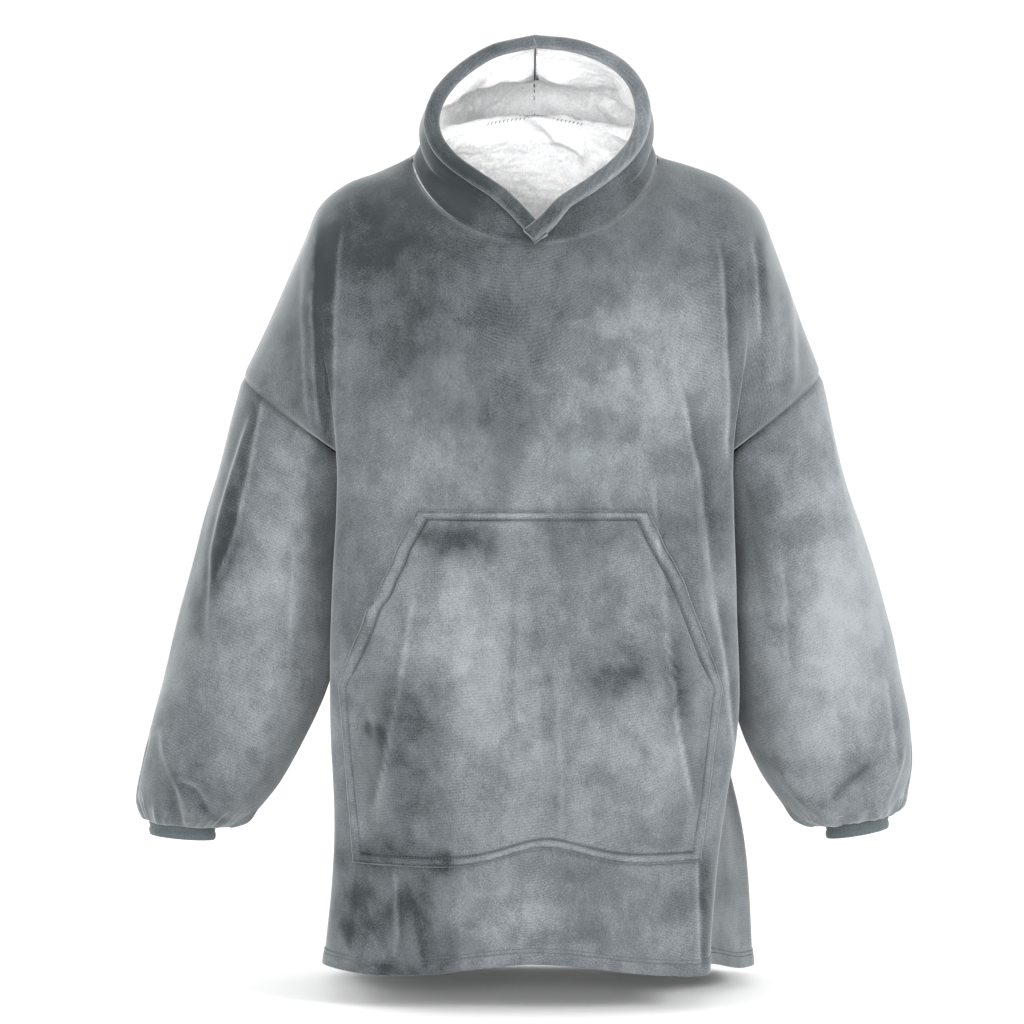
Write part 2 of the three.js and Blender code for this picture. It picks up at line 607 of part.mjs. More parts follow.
// Half of the hood between its hood edge, neck seam and centre seam: columns run from the
// front of the neck seam to the nape, and rows from the neck seam up to the centre seam
function hoodGrid(side, panels) {
  const rim = rimCurve(side);
  const rimTop = rim.getPointAt(1);
  const crown = vec(0, CROWN.y, CROWN.z);
  const half = shares.length - 1;
  const neckOf = (face) => panels[face].map((column) => column[0]);
  const quarter = (face) =>
    shares.slice(0, NECK_STEPS + 1).map((_, k) => neckOf(face)[half + sign(side) * k]);
  const neck = [...quarter("front"), ...quarter("back").reverse().slice(1)];
  const front = neck[0];
  const nape = neck[neck.length - 1];
  const top = new THREE.CatmullRomCurve3([rimTop, ...CROWN_LINE.map((p) => vec(0, p.y, p.z)), crown]);
  const back = new THREE.CatmullRomCurve3([nape, ...NAPE_LINE.map((p) => vec(0, p.y, p.z)), crown]);
  return neck.map((seam, i) => {
    const a = i / (neck.length - 1);
    const points = [];
    for (let j = 0; j <= HOOD_STEPS; j += 1) {
      const b = j / HOOD_STEPS;
      const p = seam.clone().multiplyScalar(1 - b).addScaledVector(top.getPointAt(a), b);
      p.addScaledVector(rim.getPointAt(b), 1 - a).addScaledVector(back.getPointAt(b), a);
      p.addScaledVector(front, -(1 - a) * (1 - b)).addScaledVector(nape, -a * (1 - b));
      p.addScaledVector(rimTop, -(1 - a) * b).addScaledVector(crown, -a * b);
      const flank = Math.sin(Math.PI * a);
      const stand = flank * Math.sin(Math.PI * b ** HOOD_STAND.soon);
      const swell = Math.exp(-(((b - HOOD_SWELL.at) / HOOD_SWELL.spread) ** 2));
      const lift = HOOD_SWELL.up * flank ** 2 * swell * smoothstep(b, 0, HOOD_SWELL.clear);
      p.y -= HOOD_STAND.forward * stand;
      p.z += HOOD_STAND.up * stand + lift;
      const out = sign(side) * p.x - HOOD_STAND.in * stand;
      const full = smoothstep(a, HOOD_FULL.from, HOOD_FULL.back) * smoothstep(b, 0, HOOD_FULL.up);
      const high = smoothstep(b, HOOD_HALF_WIDTH.from, HOOD_HALF_WIDTH.to);
      const half = lerp(HOOD_HALF_WIDTH.low, HOOD_HALF_WIDTH.high, high);
      const narrow = 1 - Math.min(out / half, 1);
      p.x = sign(side) * lerp(out, half * (1 - narrow ** 2), full);
      points.push(p);
    }
    return points;
  });
}

// Turned hem round the face opening, crossing over itself at the throat
function bandGeometry() {
  const stations = [];
  for (let k = -BAND_STEPS; k <= BAND_STEPS; k += 1) stations.push(k / BAND_STEPS);
  const curves = { right: rimCurve("right"), left: rimCurve("left") };
  const middle = rimPoint("right", { out: 0, up: RIM_OUTLINES.right[RIM_OUTLINES.right.length - 1].up / 2 });
  const rings = stations.map((t) => {
    const side = t < 0 ? "right" : "left";
    const share = 1 - Math.abs(t);
    const p = curves[side].getPointAt(share);
    const along = curves[side].getTangentAt(share);
    const inward = along.clone().cross(OPENING_FORWARD).normalize();
    if (inward.dot(middle.clone().sub(p)) < 0) inward.negate();
    const over = side === "left" ? 1 : 0;
    const lift = over * BAND_LIFT * (1 - smoothstep(share, BAND_CROSSES, 2 * BAND_CROSSES));
    const slide = -over * BAND_TUCK * (1 - smoothstep(share, 0, BAND_CROSSES));
    const start = p.clone().addScaledVector(along, slide).addScaledVector(OPENING_FORWARD, lift);
    return BAND_SECTION.map((q) =>
      start.clone().addScaledVector(inward, q.in).addScaledVector(OPENING_FORWARD, q.out),
    );
  });
  return sweptGeometry(rings);
}

// Closed solid through a row of rings, with flat ends
function sweptGeometry(rings) {
  const n = rings[0].length;
  const positions = [];
  for (const ring of rings) for (const p of ring) positions.push(p.x, p.y, p.z);
  const index = [];
  for (let i = 0; i < rings.length - 1; i += 1) {
    for (let k = 0; k < n; k += 1) {
      const a = i * n + k;
      const b = i * n + ((k + 1) % n);
      index.push(a, b, b + n, a, b + n, a + n);
    }
  }
  const end = (rings.length - 1) * n;
  for (let k = 1; k < n - 1; k += 1) {
    index.push(0, k + 1, k);
    index.push(end, end + k, end + k + 1);
  }
  const geometry = new THREE.BufferGeometry();
  geometry.setAttribute("position", new THREE.BufferAttribute(new Float32Array(positions), 3));
  geometry.setIndex(signedVolume(positions, index) < 0 ? index.reverse() : index);
  geometry.computeVertexNormals();
  return geometry;
}

// Point and normal of the front panel's facets under a place seen from the front
function onFront(grid, x, z) {
  let found = null;
  for (let i = 0; i < grid.length - 1; i += 1) {
    for (let j = YOKE_STEPS; j < grid[i].length - 1; j += 1) {
      const corners = [grid[i][j], grid[i][j + 1], grid[i + 1][j + 1], grid[i + 1][j]];
      for (const [a, b, c] of [[0, 1, 2], [0, 2, 3]]) {
        const triangle = new THREE.Triangle(corners[a], corners[b], corners[c]);
        const flat = new THREE.Triangle(
          vec(corners[a].x, 0, corners[a].z),
          vec(corners[b].x, 0, corners[b].z),
          vec(corners[c].x, 0, corners[c].z),
        );
        if (flat.getArea() < 1) continue;
        const weight = flat.getBarycoord(vec(x, 0, z), vec(0, 0, 0));
        if (!weight || Math.min(weight.x, weight.y, weight.z) < -1e-6) continue;
        const y = corners[a].y * weight.x + corners[b].y * weight.y + corners[c].y * weight.z;
        if (found && found.y < y) continue;
        const normal = triangle.getNormal(vec(0, 0, 0));
        if (normal.y > 0) normal.negate();
        found = { y, normal };
      }
    }
  }
  return found;
}

// Pocket laid on the front panel: sewn along the top, the foot and the lower sides
function pocketGrid(front) {
  const grid = [];
  const top = POCKET_OUTLINE[POCKET_OUTLINE.length - 1].z;
  for (let i = 0; i <= POCKET_COLUMNS; i += 1) {
    const a = i / POCKET_COLUMNS;
    const foot = pocketFoot(a);
    const column = [];
    for (let j = 0; j <= POCKET_ROWS; j += 1) {
      const z = lerp(top, foot, j / POCKET_ROWS);
      const x = lerp(-pocketHalf("right", z), pocketHalf("left", z), a);
      const under = onFront(front, x, z);
      const fromSide = Math.min(a, 1 - a) * POCKET_WIDTH;
      const fromEnds = Math.min(smoothstep(top - z, 0, POCKET_EASE), smoothstep(z - foot, 0, POCKET_EASE));
      const sewn = smoothstep(fromSide, 0, POCKET_EASE);
      const mouth = lerp(POCKET_MOUTH / POCKET_ROOM, 1, smoothstep(fromSide, 0, POCKET_MOUTH_EASE));
      const side = lerp(sewn, mouth, smoothstep(z, POCKET_OPENS.from, POCKET_OPENS.to));
      const off = POCKET_SEWN + POCKET_ROOM * fromEnds * side;
      column.push(vec(x, under.y, z).addScaledVector(under.normal, off));
    }
    grid.push(column);
  }
  return grid;
}

// Half width of the pocket at a level
function pocketHalf(side, z) {
  const [low, widest, top] = POCKET_OUTLINE;
  const [from, to] = z < widest.z ? [low, widest] : [widest, top];
  return lerp(from[side], to[side], Math.max((z - from.z) / (to.z - from.z), 0));
}

// Level of the pocket's foot at a share of its width from the wearer's right
function pocketFoot(a) {
  const { z, lift, liftAt, liftWidth, sideLift, sideFrom } = POCKET_FOOT;
  return z + lift * Math.exp(-(((a - liftAt) / liftWidth) ** 2)) + sideLift * smoothstep(a, sideFrom, 1);
}

const SHELL_LOOK = { color: 0x757d82, roughness: 0.85, metalness: 0 };
const CUFF_LOOK = { color: 0x666e72, roughness: 0.9, metalness: 0 };
const PILE_LOOK = { color: 0xf3f3f1, roughness: 0.95, metalness: 0 };

const hoodie = new THREE.Group();
function add(name, geometry, look) {
  const mesh = new THREE.Mesh(geometry, new THREE.MeshStandardMaterial(look));
  mesh.name = name;
  hoodie.add(mesh);
}

function addShell(name, { grid, normals, wraps }) {
  const cut = drawnIn(grid, wraps, SEAM_GAP * 0.8);
  add(name, wallGeometry(cut, offset(cut, normals, -SHELL_WALL), wraps), SHELL_LOOK);
}

function addLining(name, { grid, normals }, gap) {
  const cut = drawnIn(grid, false, LINING_INSET);
  const depth = SHELL_WALL + gap;
  const inner = offset(cut, normals, -depth - LINING_WALL);
  add(name, wallGeometry(offset(cut, normals, -depth), inner, false), PILE_LOOK);
}

// Every sewn piece of cloth as a grid of points with its outward normals
const panels = { front: panelGrid("front"), back: panelGrid("back") };
const pieces = {};
function sew(name, grid, wraps, flip) {
  pieces[name] = { grid, wraps, normals: gridNormals(grid, wraps, flip) };
}
sew("front_panel", panels.front, false, true);
sew("back_panel", panels.back, false, false);
for (const side of SIDES) {
  sew(`sleeve_${side}`, sleeveGrid(side, panels), true, side === "right");
  sew(`hood_${side}`, hoodGrid(side, panels), false, side === "right");
}
shareSeamNormals(Object.values(pieces));
for (const [name, piece] of Object.entries(pieces)) addShell(name, piece);

// Pale pile lining of the hood, and of the back where it shows through the face opening
const middle = shares.length - 1;
const upperBack = (columns) =>
  columns.slice(middle - NECK_STEPS, middle + NECK_STEPS + 1).map((column) => column.slice(0, LINING_ROWS));
const back = pieces.back_panel;
const backPart = { grid: upperBack(back.grid), normals: upperBack(back.normals) };
addLining("back_lining", backPart, LINING_GAP.back);
for (const side of SIDES) {
  addLining(`hood_lining_${side}`, pieces[`hood_${side}`], LINING_GAP.hood);
  add(`cuff_${side}`, cuffGeometry(side, pieces[`sleeve_${side}`].grid.length), CUFF_LOOK);
}
add("hood_band", bandGeometry(), SHELL_LOOK);

const pocket = pocketGrid(panels.front);
const pocketNormals = gridNormals(pocket, false, true);
add("pocket", wallGeometry(offset(pocket, pocketNormals, SHELL_WALL), pocket, false), SHELL_LOOK);

export default hoodie;
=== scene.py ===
"""Wearable blanket hoodie, filled out as worn: its cloth, pile, stitching, lights and camera.

Shapes are worked out in millimetres, in the part's own frame: X to the wearer's left, Y to the
back, Z up, with the origin between the shoulder points of the neck seam.
"""

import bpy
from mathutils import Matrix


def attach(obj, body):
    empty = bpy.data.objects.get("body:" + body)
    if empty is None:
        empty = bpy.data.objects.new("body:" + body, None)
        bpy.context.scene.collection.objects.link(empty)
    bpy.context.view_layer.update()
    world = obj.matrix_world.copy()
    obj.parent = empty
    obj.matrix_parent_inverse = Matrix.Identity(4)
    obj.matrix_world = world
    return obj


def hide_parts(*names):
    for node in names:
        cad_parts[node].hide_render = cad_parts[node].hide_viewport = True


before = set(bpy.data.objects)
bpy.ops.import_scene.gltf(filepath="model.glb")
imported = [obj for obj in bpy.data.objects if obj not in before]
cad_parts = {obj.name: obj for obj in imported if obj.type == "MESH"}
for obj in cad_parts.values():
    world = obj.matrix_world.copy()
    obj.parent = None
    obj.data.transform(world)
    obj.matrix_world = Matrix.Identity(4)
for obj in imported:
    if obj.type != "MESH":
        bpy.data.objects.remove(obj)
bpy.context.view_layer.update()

import logging
import math
from collections.abc import Iterable, Sequence
from dataclasses import dataclass, field
from enum import Enum
from typing import NamedTuple

import bmesh
import bpy
import numpy as np
from mathutils import Vector
from mathutils.bvhtree import BVHTree

log = logging.getLogger("hoodie")
Array = np.ndarray
Socket = bpy.types.NodeSocket
MM = 0.001
SHELL = 3.0  # thickness of the fleece and of the knit
LINING_DEPTH = 3.8  # from the shell's outer face to the lining's hidden face
HOOD_LINING_DEPTH = 6.2
LINING_THICK = 2.5
SEAM_DIP = 4.5  # half width of the dip that a seam pulls into the cloth
CAMERA_DISTANCE = 4000.0
CAMERA_TARGET = (-25.0, 0.0, -385.0)
CAMERA_SLOPE = 0.0436  # how far the camera looks down, for each unit ahead


class Side(Enum):
    """The wearer's sides, with the sign of X on each."""

    RIGHT = -1
    LEFT = 1


class Face(Enum):
    """The two body panels, with the sign of Y that each faces."""

    FRONT = -1
    BACK = 1


def smoothstep(value: Array, start: float, end: float) -> Array:
    """Rises smoothly from 0 at start to 1 at end."""
    t = np.clip((np.asarray(value, float) - start) / (end - start), 0.0, 1.0)
    return t * t * (3.0 - 2.0 * t)


def lerp(a: Array, b: Array, t: Array) -> Array:
    """Value a share t of the way from a to b."""
    return a + (b - a) * t


def bell(value: Array, width: Array | float) -> Array:
    """1 at a value of 0, falling evenly to either side over that width."""
    return np.exp(-((value / width) ** 2))


def unit(vectors: Array) -> Array:
    """Vectors of length 1 along the last axis."""
    return vectors / np.maximum(np.linalg.norm(vectors, axis=-1, keepdims=True), 1e-9)


def graded(start: float, end: float, steps: int, ease: float) -> Array:
    """Values from start to end whose steps shrink toward the start (ease > 1) or the end (< 1)."""
    t = np.linspace(0.0, 1.0, steps + 1)
    return lerp(start, end, t**ease if ease >= 1 else 1.0 - (1.0 - t) ** (1.0 / ease))


class Spline:
    """Smooth centripetal curve through points, measured along its length."""

    DIVISIONS = 200

    def __init__(self, points: Sequence[Sequence[float]]) -> None:
        """Prepares the curve.

        Args:
            points: The points that it passes, in order.
        """
        given = np.asarray(points, float)
        ends = (2 * given[:1] - given[1:2], 2 * given[-1:] - given[-2:-1])
        self.points = np.vstack([ends[0], given, ends[1]])
        self.spans = len(given) - 1
        self.gaps = np.maximum(np.sum(np.diff(self.points, axis=0) ** 2, axis=1) ** 0.25, 1e-4)
        self.steps = np.linspace(0.0, 1.0, self.DIVISIONS + 1)
        chords = np.linalg.norm(np.diff(self.point(self.steps), axis=0), axis=1)
        self.lengths = np.concatenate([[0.0], np.cumsum(chords)])

    def point(self, share: Array) -> Array:
        """Points at even shares of its spans."""
        t = np.asarray(share, float) * self.spans
        i = np.clip(t.astype(int), 0, self.spans - 1)
        w = (t - i)[..., None]
        p0, p1, p2, p3 = (self.points[i + k] for k in range(4))
        d0, d1, d2 = (self.gaps[i + k][..., None] for k in range(3))
        m1 = ((p1 - p0) / d0 - (p2 - p0) / (d0 + d1) + (p2 - p1) / d1) * d1
        m2 = ((p2 - p1) / d1 - (p3 - p1) / (d1 + d2) + (p3 - p2) / d2) * d1
        return p1 + m1 * w + (3 * (p2 - p1) - 2 * m1 - m2) * w**2 + (2 * (p1 - p2) + m1 + m2) * w**3

    def along(self, share: Array) -> Array:
        """Points at shares of its length."""
        at = np.asarray(share, float) * self.lengths[-1]
        return self.point(np.interp(at, self.lengths, self.steps))


def column_at(rows: Sequence[NamedTuple], key: str, at: Array, column: str) -> Array:
    """Smooth values of one column of a table whose rows rise in key.

    Args:
        rows: The table.
        key: The column that rises.
        at: Where the values are wanted.
        column: The column that is read.

    Returns:
        One value for each place.
    """
    keys = np.array([getattr(row, key) for row in rows], float)
    values = np.array([getattr(row, column) for row in rows], float)
    last = len(rows) - 1
    before, after = np.maximum(np.arange(last + 1) - 1, 0), np.minimum(np.arange(last + 1) + 1, last)
    slopes = (values[after] - values[before]) / (keys[after] - keys[before])
    at = np.clip(at, keys[0], keys[-1])
    i = np.clip(np.searchsorted(keys, at, side="left") - 1, 0, last - 1)
    step = keys[i + 1] - keys[i]
    t = (at - keys[i]) / step
    return (
        (2 * t**3 - 3 * t**2 + 1) * values[i]
        + (t**3 - 2 * t**2 + t) * step * slopes[i]
        + (3 * t**2 - 2 * t**3) * values[i + 1]
        + (t**3 - t**2) * step * slopes[i + 1]
    )


@dataclass(frozen=True)
class Noise:
    """Repeatable smooth noise in space, from -1 to 1."""

    seed: int
    size: float
    octaves: int = 2
    stretch: tuple[float, float, float] = (1.0, 1.0, 1.0)

    def _corner(self, cell: Array) -> Array:
        """Fixed random values at whole-numbered corners."""
        c = cell.astype(np.int64)
        h = (c[..., 0] * 73856093) ^ (c[..., 1] * 19349663) ^ (c[..., 2] * 83492791)
        h = h ^ (self.seed * 2654435761)
        h = (h ^ (h >> 13)) * 1274126177 & 0xFFFFFFFF
        h = (h ^ (h >> 15)) * 2246822519 & 0xFFFFFFFF
        return ((h ^ (h >> 16)) & 0xFFFF) / 32767.5 - 1.0

    def at(self, points: Array) -> Array:
        """Noise at points.

        Args:
            points: Places in millimetres, on the last axis.

        Returns:
            One value for each place.
        """
        total = np.zeros(points.shape[:-1])
        weight, norm = 1.0, 0.0
        scaled = points / (self.size * np.array(self.stretch))
        for _ in range(self.octaves):
            base = np.floor(scaled)
            f = scaled - base
            f = f * f * (3 - 2 * f)
            value = np.zeros_like(total)
            for k in range(8):
                corner = np.array([k & 1, k >> 1 & 1, k >> 2 & 1])
                share = np.prod(np.where(corner, f, 1 - f), axis=-1)
                value += share * self._corner(base + corner)
            total += weight * value
            norm += weight
            weight *= 0.5
            scaled = scaled * 2.03 + 17.1
        return total / norm

    def clumps(self, points: Array) -> Array:
        """Height of rounded clumps, 1 at their middles and 0 between them."""
        scaled = points / self.size
        base = np.floor(scaled)
        nearest = np.full(points.shape[:-1], 9.0)
        for k in range(27):
            cell = base + np.array([k % 3 - 1, k // 3 % 3 - 1, k // 9 - 1])
            jitter = np.stack([self._corner(cell + 31 * n) for n in range(3)], axis=-1) * 0.42 + 0.5
            nearest = np.minimum(nearest, np.sum((cell + jitter - scaled) ** 2, axis=-1))
        return np.clip(1.0 - nearest / 0.75, 0.0, 1.0)


def beside_line(
    start: tuple[float, float], end: tuple[float, float], bend: float, across: Array, up: Array
) -> tuple[Array, Array]:
    """Where places of a drawing lie by a bowed line.

    Args:
        start: The line's start.
        end: The line's end.
        bend: How far its middle bows to the right, seen walking along it.
        across: First coordinate of the places.
        up: Second coordinate of the places.

    Returns:
        The share along the line, and the distance to its right.
    """
    line = np.subtract(end, start)
    length = float(np.hypot(*line))
    ahead = line / length
    du, dv = across - start[0], up - start[1]
    along = (du * ahead[0] + dv * ahead[1]) / length
    return along, du * ahead[1] - dv * ahead[0] - bend * 4 * along * (1 - along)


@dataclass(frozen=True)
class Crease:
    """A soft ridge (depth above 0) or trough on a flat drawing of the cloth, in millimetres."""

    start: tuple[float, float]
    end: tuple[float, float]
    depth: float
    left: float
    right: float
    bend: float = 0.0
    crisp: float = 2.0

    def rise(self, across: Array, up: Array) -> Array:
        """How far the crease lifts the cloth.

        Args:
            across: First coordinate of the drawing.
            up: Second coordinate of the drawing.

        Returns:
            The lift in millimetres. "left" and "right" are as seen walking from start to end.
        """
        along, off = beside_line(self.start, self.end, self.bend, across, up)
        width = np.where(off > 0, self.right, self.left)
        ends = smoothstep(along, -0.12, 0.22) * (1 - smoothstep(along, 0.78, 1.12))
        return self.depth * ends * np.exp(-(np.abs(off / width) ** self.crisp))


@dataclass(frozen=True)
class NapStroke:
    """A place of the front, at x and z, drawn lighter or darker: brushed nap in the small strokes, and
    painted light in the pale tone on the left sleeve.
    """

    x: float
    z: float
    wide: float
    tall: float
    shade: float
    turn: float = 0.0

    def value(self, x: Array, z: Array) -> Array:
        """Change of lightness at places on the drawing."""
        angle = math.radians(self.turn)
        dx, dz = x - self.x, z - self.z
        u = (dx * math.cos(angle) + dz * math.sin(angle)) / self.wide
        v = (dz * math.cos(angle) - dx * math.sin(angle)) / self.tall
        return self.shade * np.exp(-((u * u + v * v) ** 1.3))


@dataclass(frozen=True)
class PaintedFoldShading:
    """The crisp edge of a fold, painted: a thin painted highlight along it, with a strip of painted shade
    beside it.
    """

    start: tuple[float, float]
    end: tuple[float, float]
    pale: float
    dark: float
    strip: float
    bend: float = 0.0
    thin: float = 3.2

    def value(self, x: Array, z: Array) -> Array:
        """Change of the painted lightness at places on the drawing.

        Args:
            x: First coordinate of the places.
            z: Second coordinate of the places.

        Returns:
            The change. A strip above 0 lies to the right, seen walking from start to end.
        """
        along, off = beside_line(self.start, self.end, self.bend, x, z)
        ends = smoothstep(along, -0.04, 0.14) * (1 - smoothstep(along, 0.86, 1.04))
        hidden = off * math.copysign(1.0, self.strip)
        strip = self.dark * smoothstep(hidden, 0.0, self.thin) * bell(hidden, self.strip)
        return ends * (self.pale * bell(off, self.thin) + strip)


@dataclass
class Cloth:
    """A piece of cloth as a grid of points, columns first."""

    points: Array
    wraps: bool = False
    flip: bool = False

    def normals(self) -> Array:
        """Outward normals of the grid."""
        if self.wraps:
            across = np.roll(self.points, -1, axis=0) - np.roll(self.points, 1, axis=0)
        else:
            across = np.gradient(self.points, axis=0)
        down = np.gradient(self.points, axis=1)
        n = unit(np.cross(across, down))
        return -n if self.flip else n

    def raised(self, by: Array | float) -> "Cloth":
        """The same grid moved out along its normals."""
        lift = np.asarray(by)[..., None] if np.ndim(by) else by
        return Cloth(self.points + self.normals() * lift, self.wraps, self.flip)

    def across(self) -> Array:
        """Distance of each point from the first column, along its row."""
        steps = np.linalg.norm(np.diff(self.points, axis=0), axis=-1)
        return np.vstack([np.zeros((1, steps.shape[1])), np.cumsum(steps, axis=0)])

    def down(self) -> Array:
        """Distance of each point from the first row, along its column."""
        steps = np.linalg.norm(np.diff(self.points, axis=1), axis=-1)
        return np.hstack([np.zeros((steps.shape[0], 1)), np.cumsum(steps, axis=1)])

    def from_sides(self) -> Array:
        """Distance of each point from the nearer of the first and last columns."""
        across = self.across()
        return np.minimum(across, across[-1:] - across)

    def calm_normals(self, passes: int) -> Array:
        """Outward normals, evened out over their neighbours that many times."""
        n = self.normals()
        for _ in range(passes):
            wide = np.pad(n, ((1, 1), (0, 0), (0, 0)), mode="wrap" if self.wraps else "edge")
            wide = np.pad(wide, ((0, 0), (1, 1), (0, 0)), mode="edge")
            beside = wide[2:, 1:-1] + wide[:-2, 1:-1] + wide[1:-1, 2:] + wide[1:-1, :-2]
            n = unit(2 * wide[1:-1, 1:-1] + beside)
        return n

    def inner_face(self, smooth: "Cloth") -> "Cloth":
        """The same grid moved in by the cloth's thickness, along calm normals of the smooth cloth."""
        return Cloth(self.points - smooth.calm_normals(10) * SHELL, self.wraps, self.flip)

    def traced(self, distance: Array, value: Array | float, axis: int) -> tuple[Array, Array]:
        """Follows a line across the grid.

        Args:
            distance: A distance at each point that grows along the axis.
            value: What it reaches on the line, once or for each step across the axis.
            axis: 0 to look along the columns' order, 1 to look down the rows.

        Returns:
            The line's points and the outward normals there.
        """
        grown = distance if axis else distance.T
        wanted = np.broadcast_to(value, grown.shape[:1])
        steps = np.arange(grown.shape[1])
        at = np.array([np.interp(w, row, steps) for w, row in zip(wanted, grown)])
        low = np.clip(at.astype(int), 0, len(steps) - 2)
        share = (at - low)[:, None]
        index = np.arange(grown.shape[0])
        found = []
        for source in (self.points, self.normals()):
            rows = source if axis else np.swapaxes(source, 0, 1)
            found.append(lerp(rows[index, low], rows[index, low + 1], share))
        return found[0], unit(found[1])

    def flat_cut(self) -> tuple[tuple[float, float], float]:
        """The flat size that it was cut to.

        Returns:
            Its greatest width and length, and its area, in metres.
        """
        p = self.points if not self.wraps else np.concatenate([self.points, self.points[:1]])
        closed = Cloth(p)
        d1, d2 = p[1:, 1:] - p[:-1, :-1], p[1:, :-1] - p[:-1, 1:]
        area = float(np.linalg.norm(np.cross(d1, d2), axis=-1).sum() / 2) * MM * MM
        wide = float(closed.across()[-1].max()) * MM
        long = float(closed.down()[:, -1].max()) * MM
        return (wide, long), min(area, wide * long)


class Edge(Enum):
    """How an edge of a wall of cloth is finished."""

    SEWN = 0.25
    ROUNDED = 1.0


def cloth_wall(
    name: str,
    outer: Cloth,
    inner: Cloth,
    finish: bpy.types.Material,
    nap: Array | None = None,
    edge: Edge = Edge.SEWN,
) -> bpy.types.Object:
    """Makes a closed wall of cloth between two grids of the same size.

    Args:
        name: The piece's name.
        outer: The outer face.
        inner: The inner face.
        finish: Its material.
        nap: Lightness of the outer nap at each point, with painted highlights and shade along folds, seams
            and edges, 0.5 where it is even.
        edge: How the edges are finished.

    Returns:
        The mesh object, with a UV map in metres along the cloth.
    """
    columns, rows = outer.points.shape[:2]
    wraps = outer.wraps
    count = columns * rows
    vertices = [outer.points.reshape(-1, 3), inner.points.reshape(-1, 3)]
    ids = np.arange(count).reshape(columns, rows)
    right = np.roll(ids, -1, axis=0) if wraps else ids[1:]
    left = ids if wraps else ids[:-1]
    quads = np.stack([left[:, :-1], left[:, 1:], right[:, 1:], right[:, :-1]], axis=-1).reshape(-1, 4)
    if outer.flip:
        quads = quads[:, ::-1]
    faces = [quads[:, ::-1], quads + count]
    loops = [np.append(ids[:, 0], ids[0, 0]), np.append(ids[:, -1], ids[0, -1])[::-1]]
    if not wraps:
        ring = np.concatenate([ids[:, 0], ids[-1, 1:], ids[-2::-1, -1], ids[0, -2::-1]])
        loops = [ring]
    neighbour = np.empty((columns, rows, 2), int)
    i, j = np.meshgrid(np.arange(columns), np.arange(rows), indexing="ij")
    neighbour[..., 0] = i if wraps else np.clip(i, 1, columns - 2)
    neighbour[..., 1] = np.clip(j, 1, rows - 2)
    within = ids[neighbour[..., 0], neighbour[..., 1]].ravel()
    start = 2 * count
    for loop in loops:
        here = loop[:-1]
        o, q = vertices[0][here], vertices[1][here]
        middle, half = (o + q) / 2, (o - q) / 2
        outward = unit(o - vertices[0][within[here]]) * np.linalg.norm(half, axis=1, keepdims=True)
        strips = [here]
        for turn in (60, 120):
            a = math.radians(turn)
            vertices.append(middle + half * math.cos(a) + outward * math.sin(a) * edge.value)
            strips.append(np.arange(start, start + len(here)))
            start += len(here)
        strips.append(here + count)
        for a, b in zip(strips, strips[1:]):
            strip = np.stack([a, np.roll(a, -1), np.roll(b, -1), b], axis=-1)
            faces.append(strip[:, ::-1] if outer.flip else strip)
    points = np.vstack(vertices) * MM
    mesh = bpy.data.meshes.new(name)
    sides = np.vstack(faces)
    mesh.vertices.add(len(points))
    mesh.vertices.foreach_set("co", points.ravel())
    mesh.loops.add(4 * len(sides))
    mesh.loops.foreach_set("vertex_index", sides.ravel())
    mesh.polygons.add(len(sides))
    mesh.polygons.foreach_set("loop_start", np.arange(0, 4 * len(sides), 4))
    mesh.polygons.foreach_set("loop_total", np.full(len(sides), 4))
    mesh.polygons.foreach_set("use_smooth", np.ones(len(sides), bool))
    mesh.materials.append(finish)
    u, v = outer.across().ravel() * MM, outer.down().ravel() * MM
    flat = np.zeros((len(points), 2))
    flat[:count, 0], flat[:count, 1] = u, v
    flat[count : 2 * count] = flat[:count]
    tail = 2 * count
    for loop in loops:
        for _ in range(2):
            flat[tail : tail + len(loop) - 1] = flat[loop[:-1]]
            tail += len(loop) - 1
    mesh.uv_layers.new(name="cloth").uv.foreach_set("vector", flat[sides.ravel()].ravel())
    shade = np.full(len(points), 0.5)
    if nap is not None:
        shade[:count] = nap.ravel()
        shade[count : 2 * count] = nap.ravel()
    mesh.attributes.new("nap", "FLOAT", "POINT").data.foreach_set("value", shade)
    mesh.update(calc_edges=True)
    mesh.validate()
    piece = placed(name, mesh)
    face_outward(piece)
    return piece


def placed(name: str, data: bpy.types.ID) -> bpy.types.Object:
    """Puts new data into the scene as an object of that name."""
    made = bpy.data.objects.new(name, data)
    bpy.context.collection.objects.link(made)
    return made


def face_outward(piece: bpy.types.Object) -> None:
    """Turns all faces of a closed mesh outward."""
    made = bmesh.new()
    made.from_mesh(piece.data)
    bmesh.ops.recalc_face_normals(made, faces=made.faces)
    if made.calc_volume(signed=True) < 0:
        bmesh.ops.reverse_faces(made, faces=made.faces)
    made.to_mesh(piece.data)
    made.free()


def linear(code: str) -> tuple[float, float, float, float]:
    """Turns an sRGB hex colour into linear values with full alpha."""
    parts = [int(code[k : k + 2], 16) / 255 for k in (0, 2, 4)]
    values = [c / 12.92 if c <= 0.04045 else ((c + 0.055) / 1.055) ** 2.4 for c in parts]
    return (values[0], values[1], values[2], 1.0)


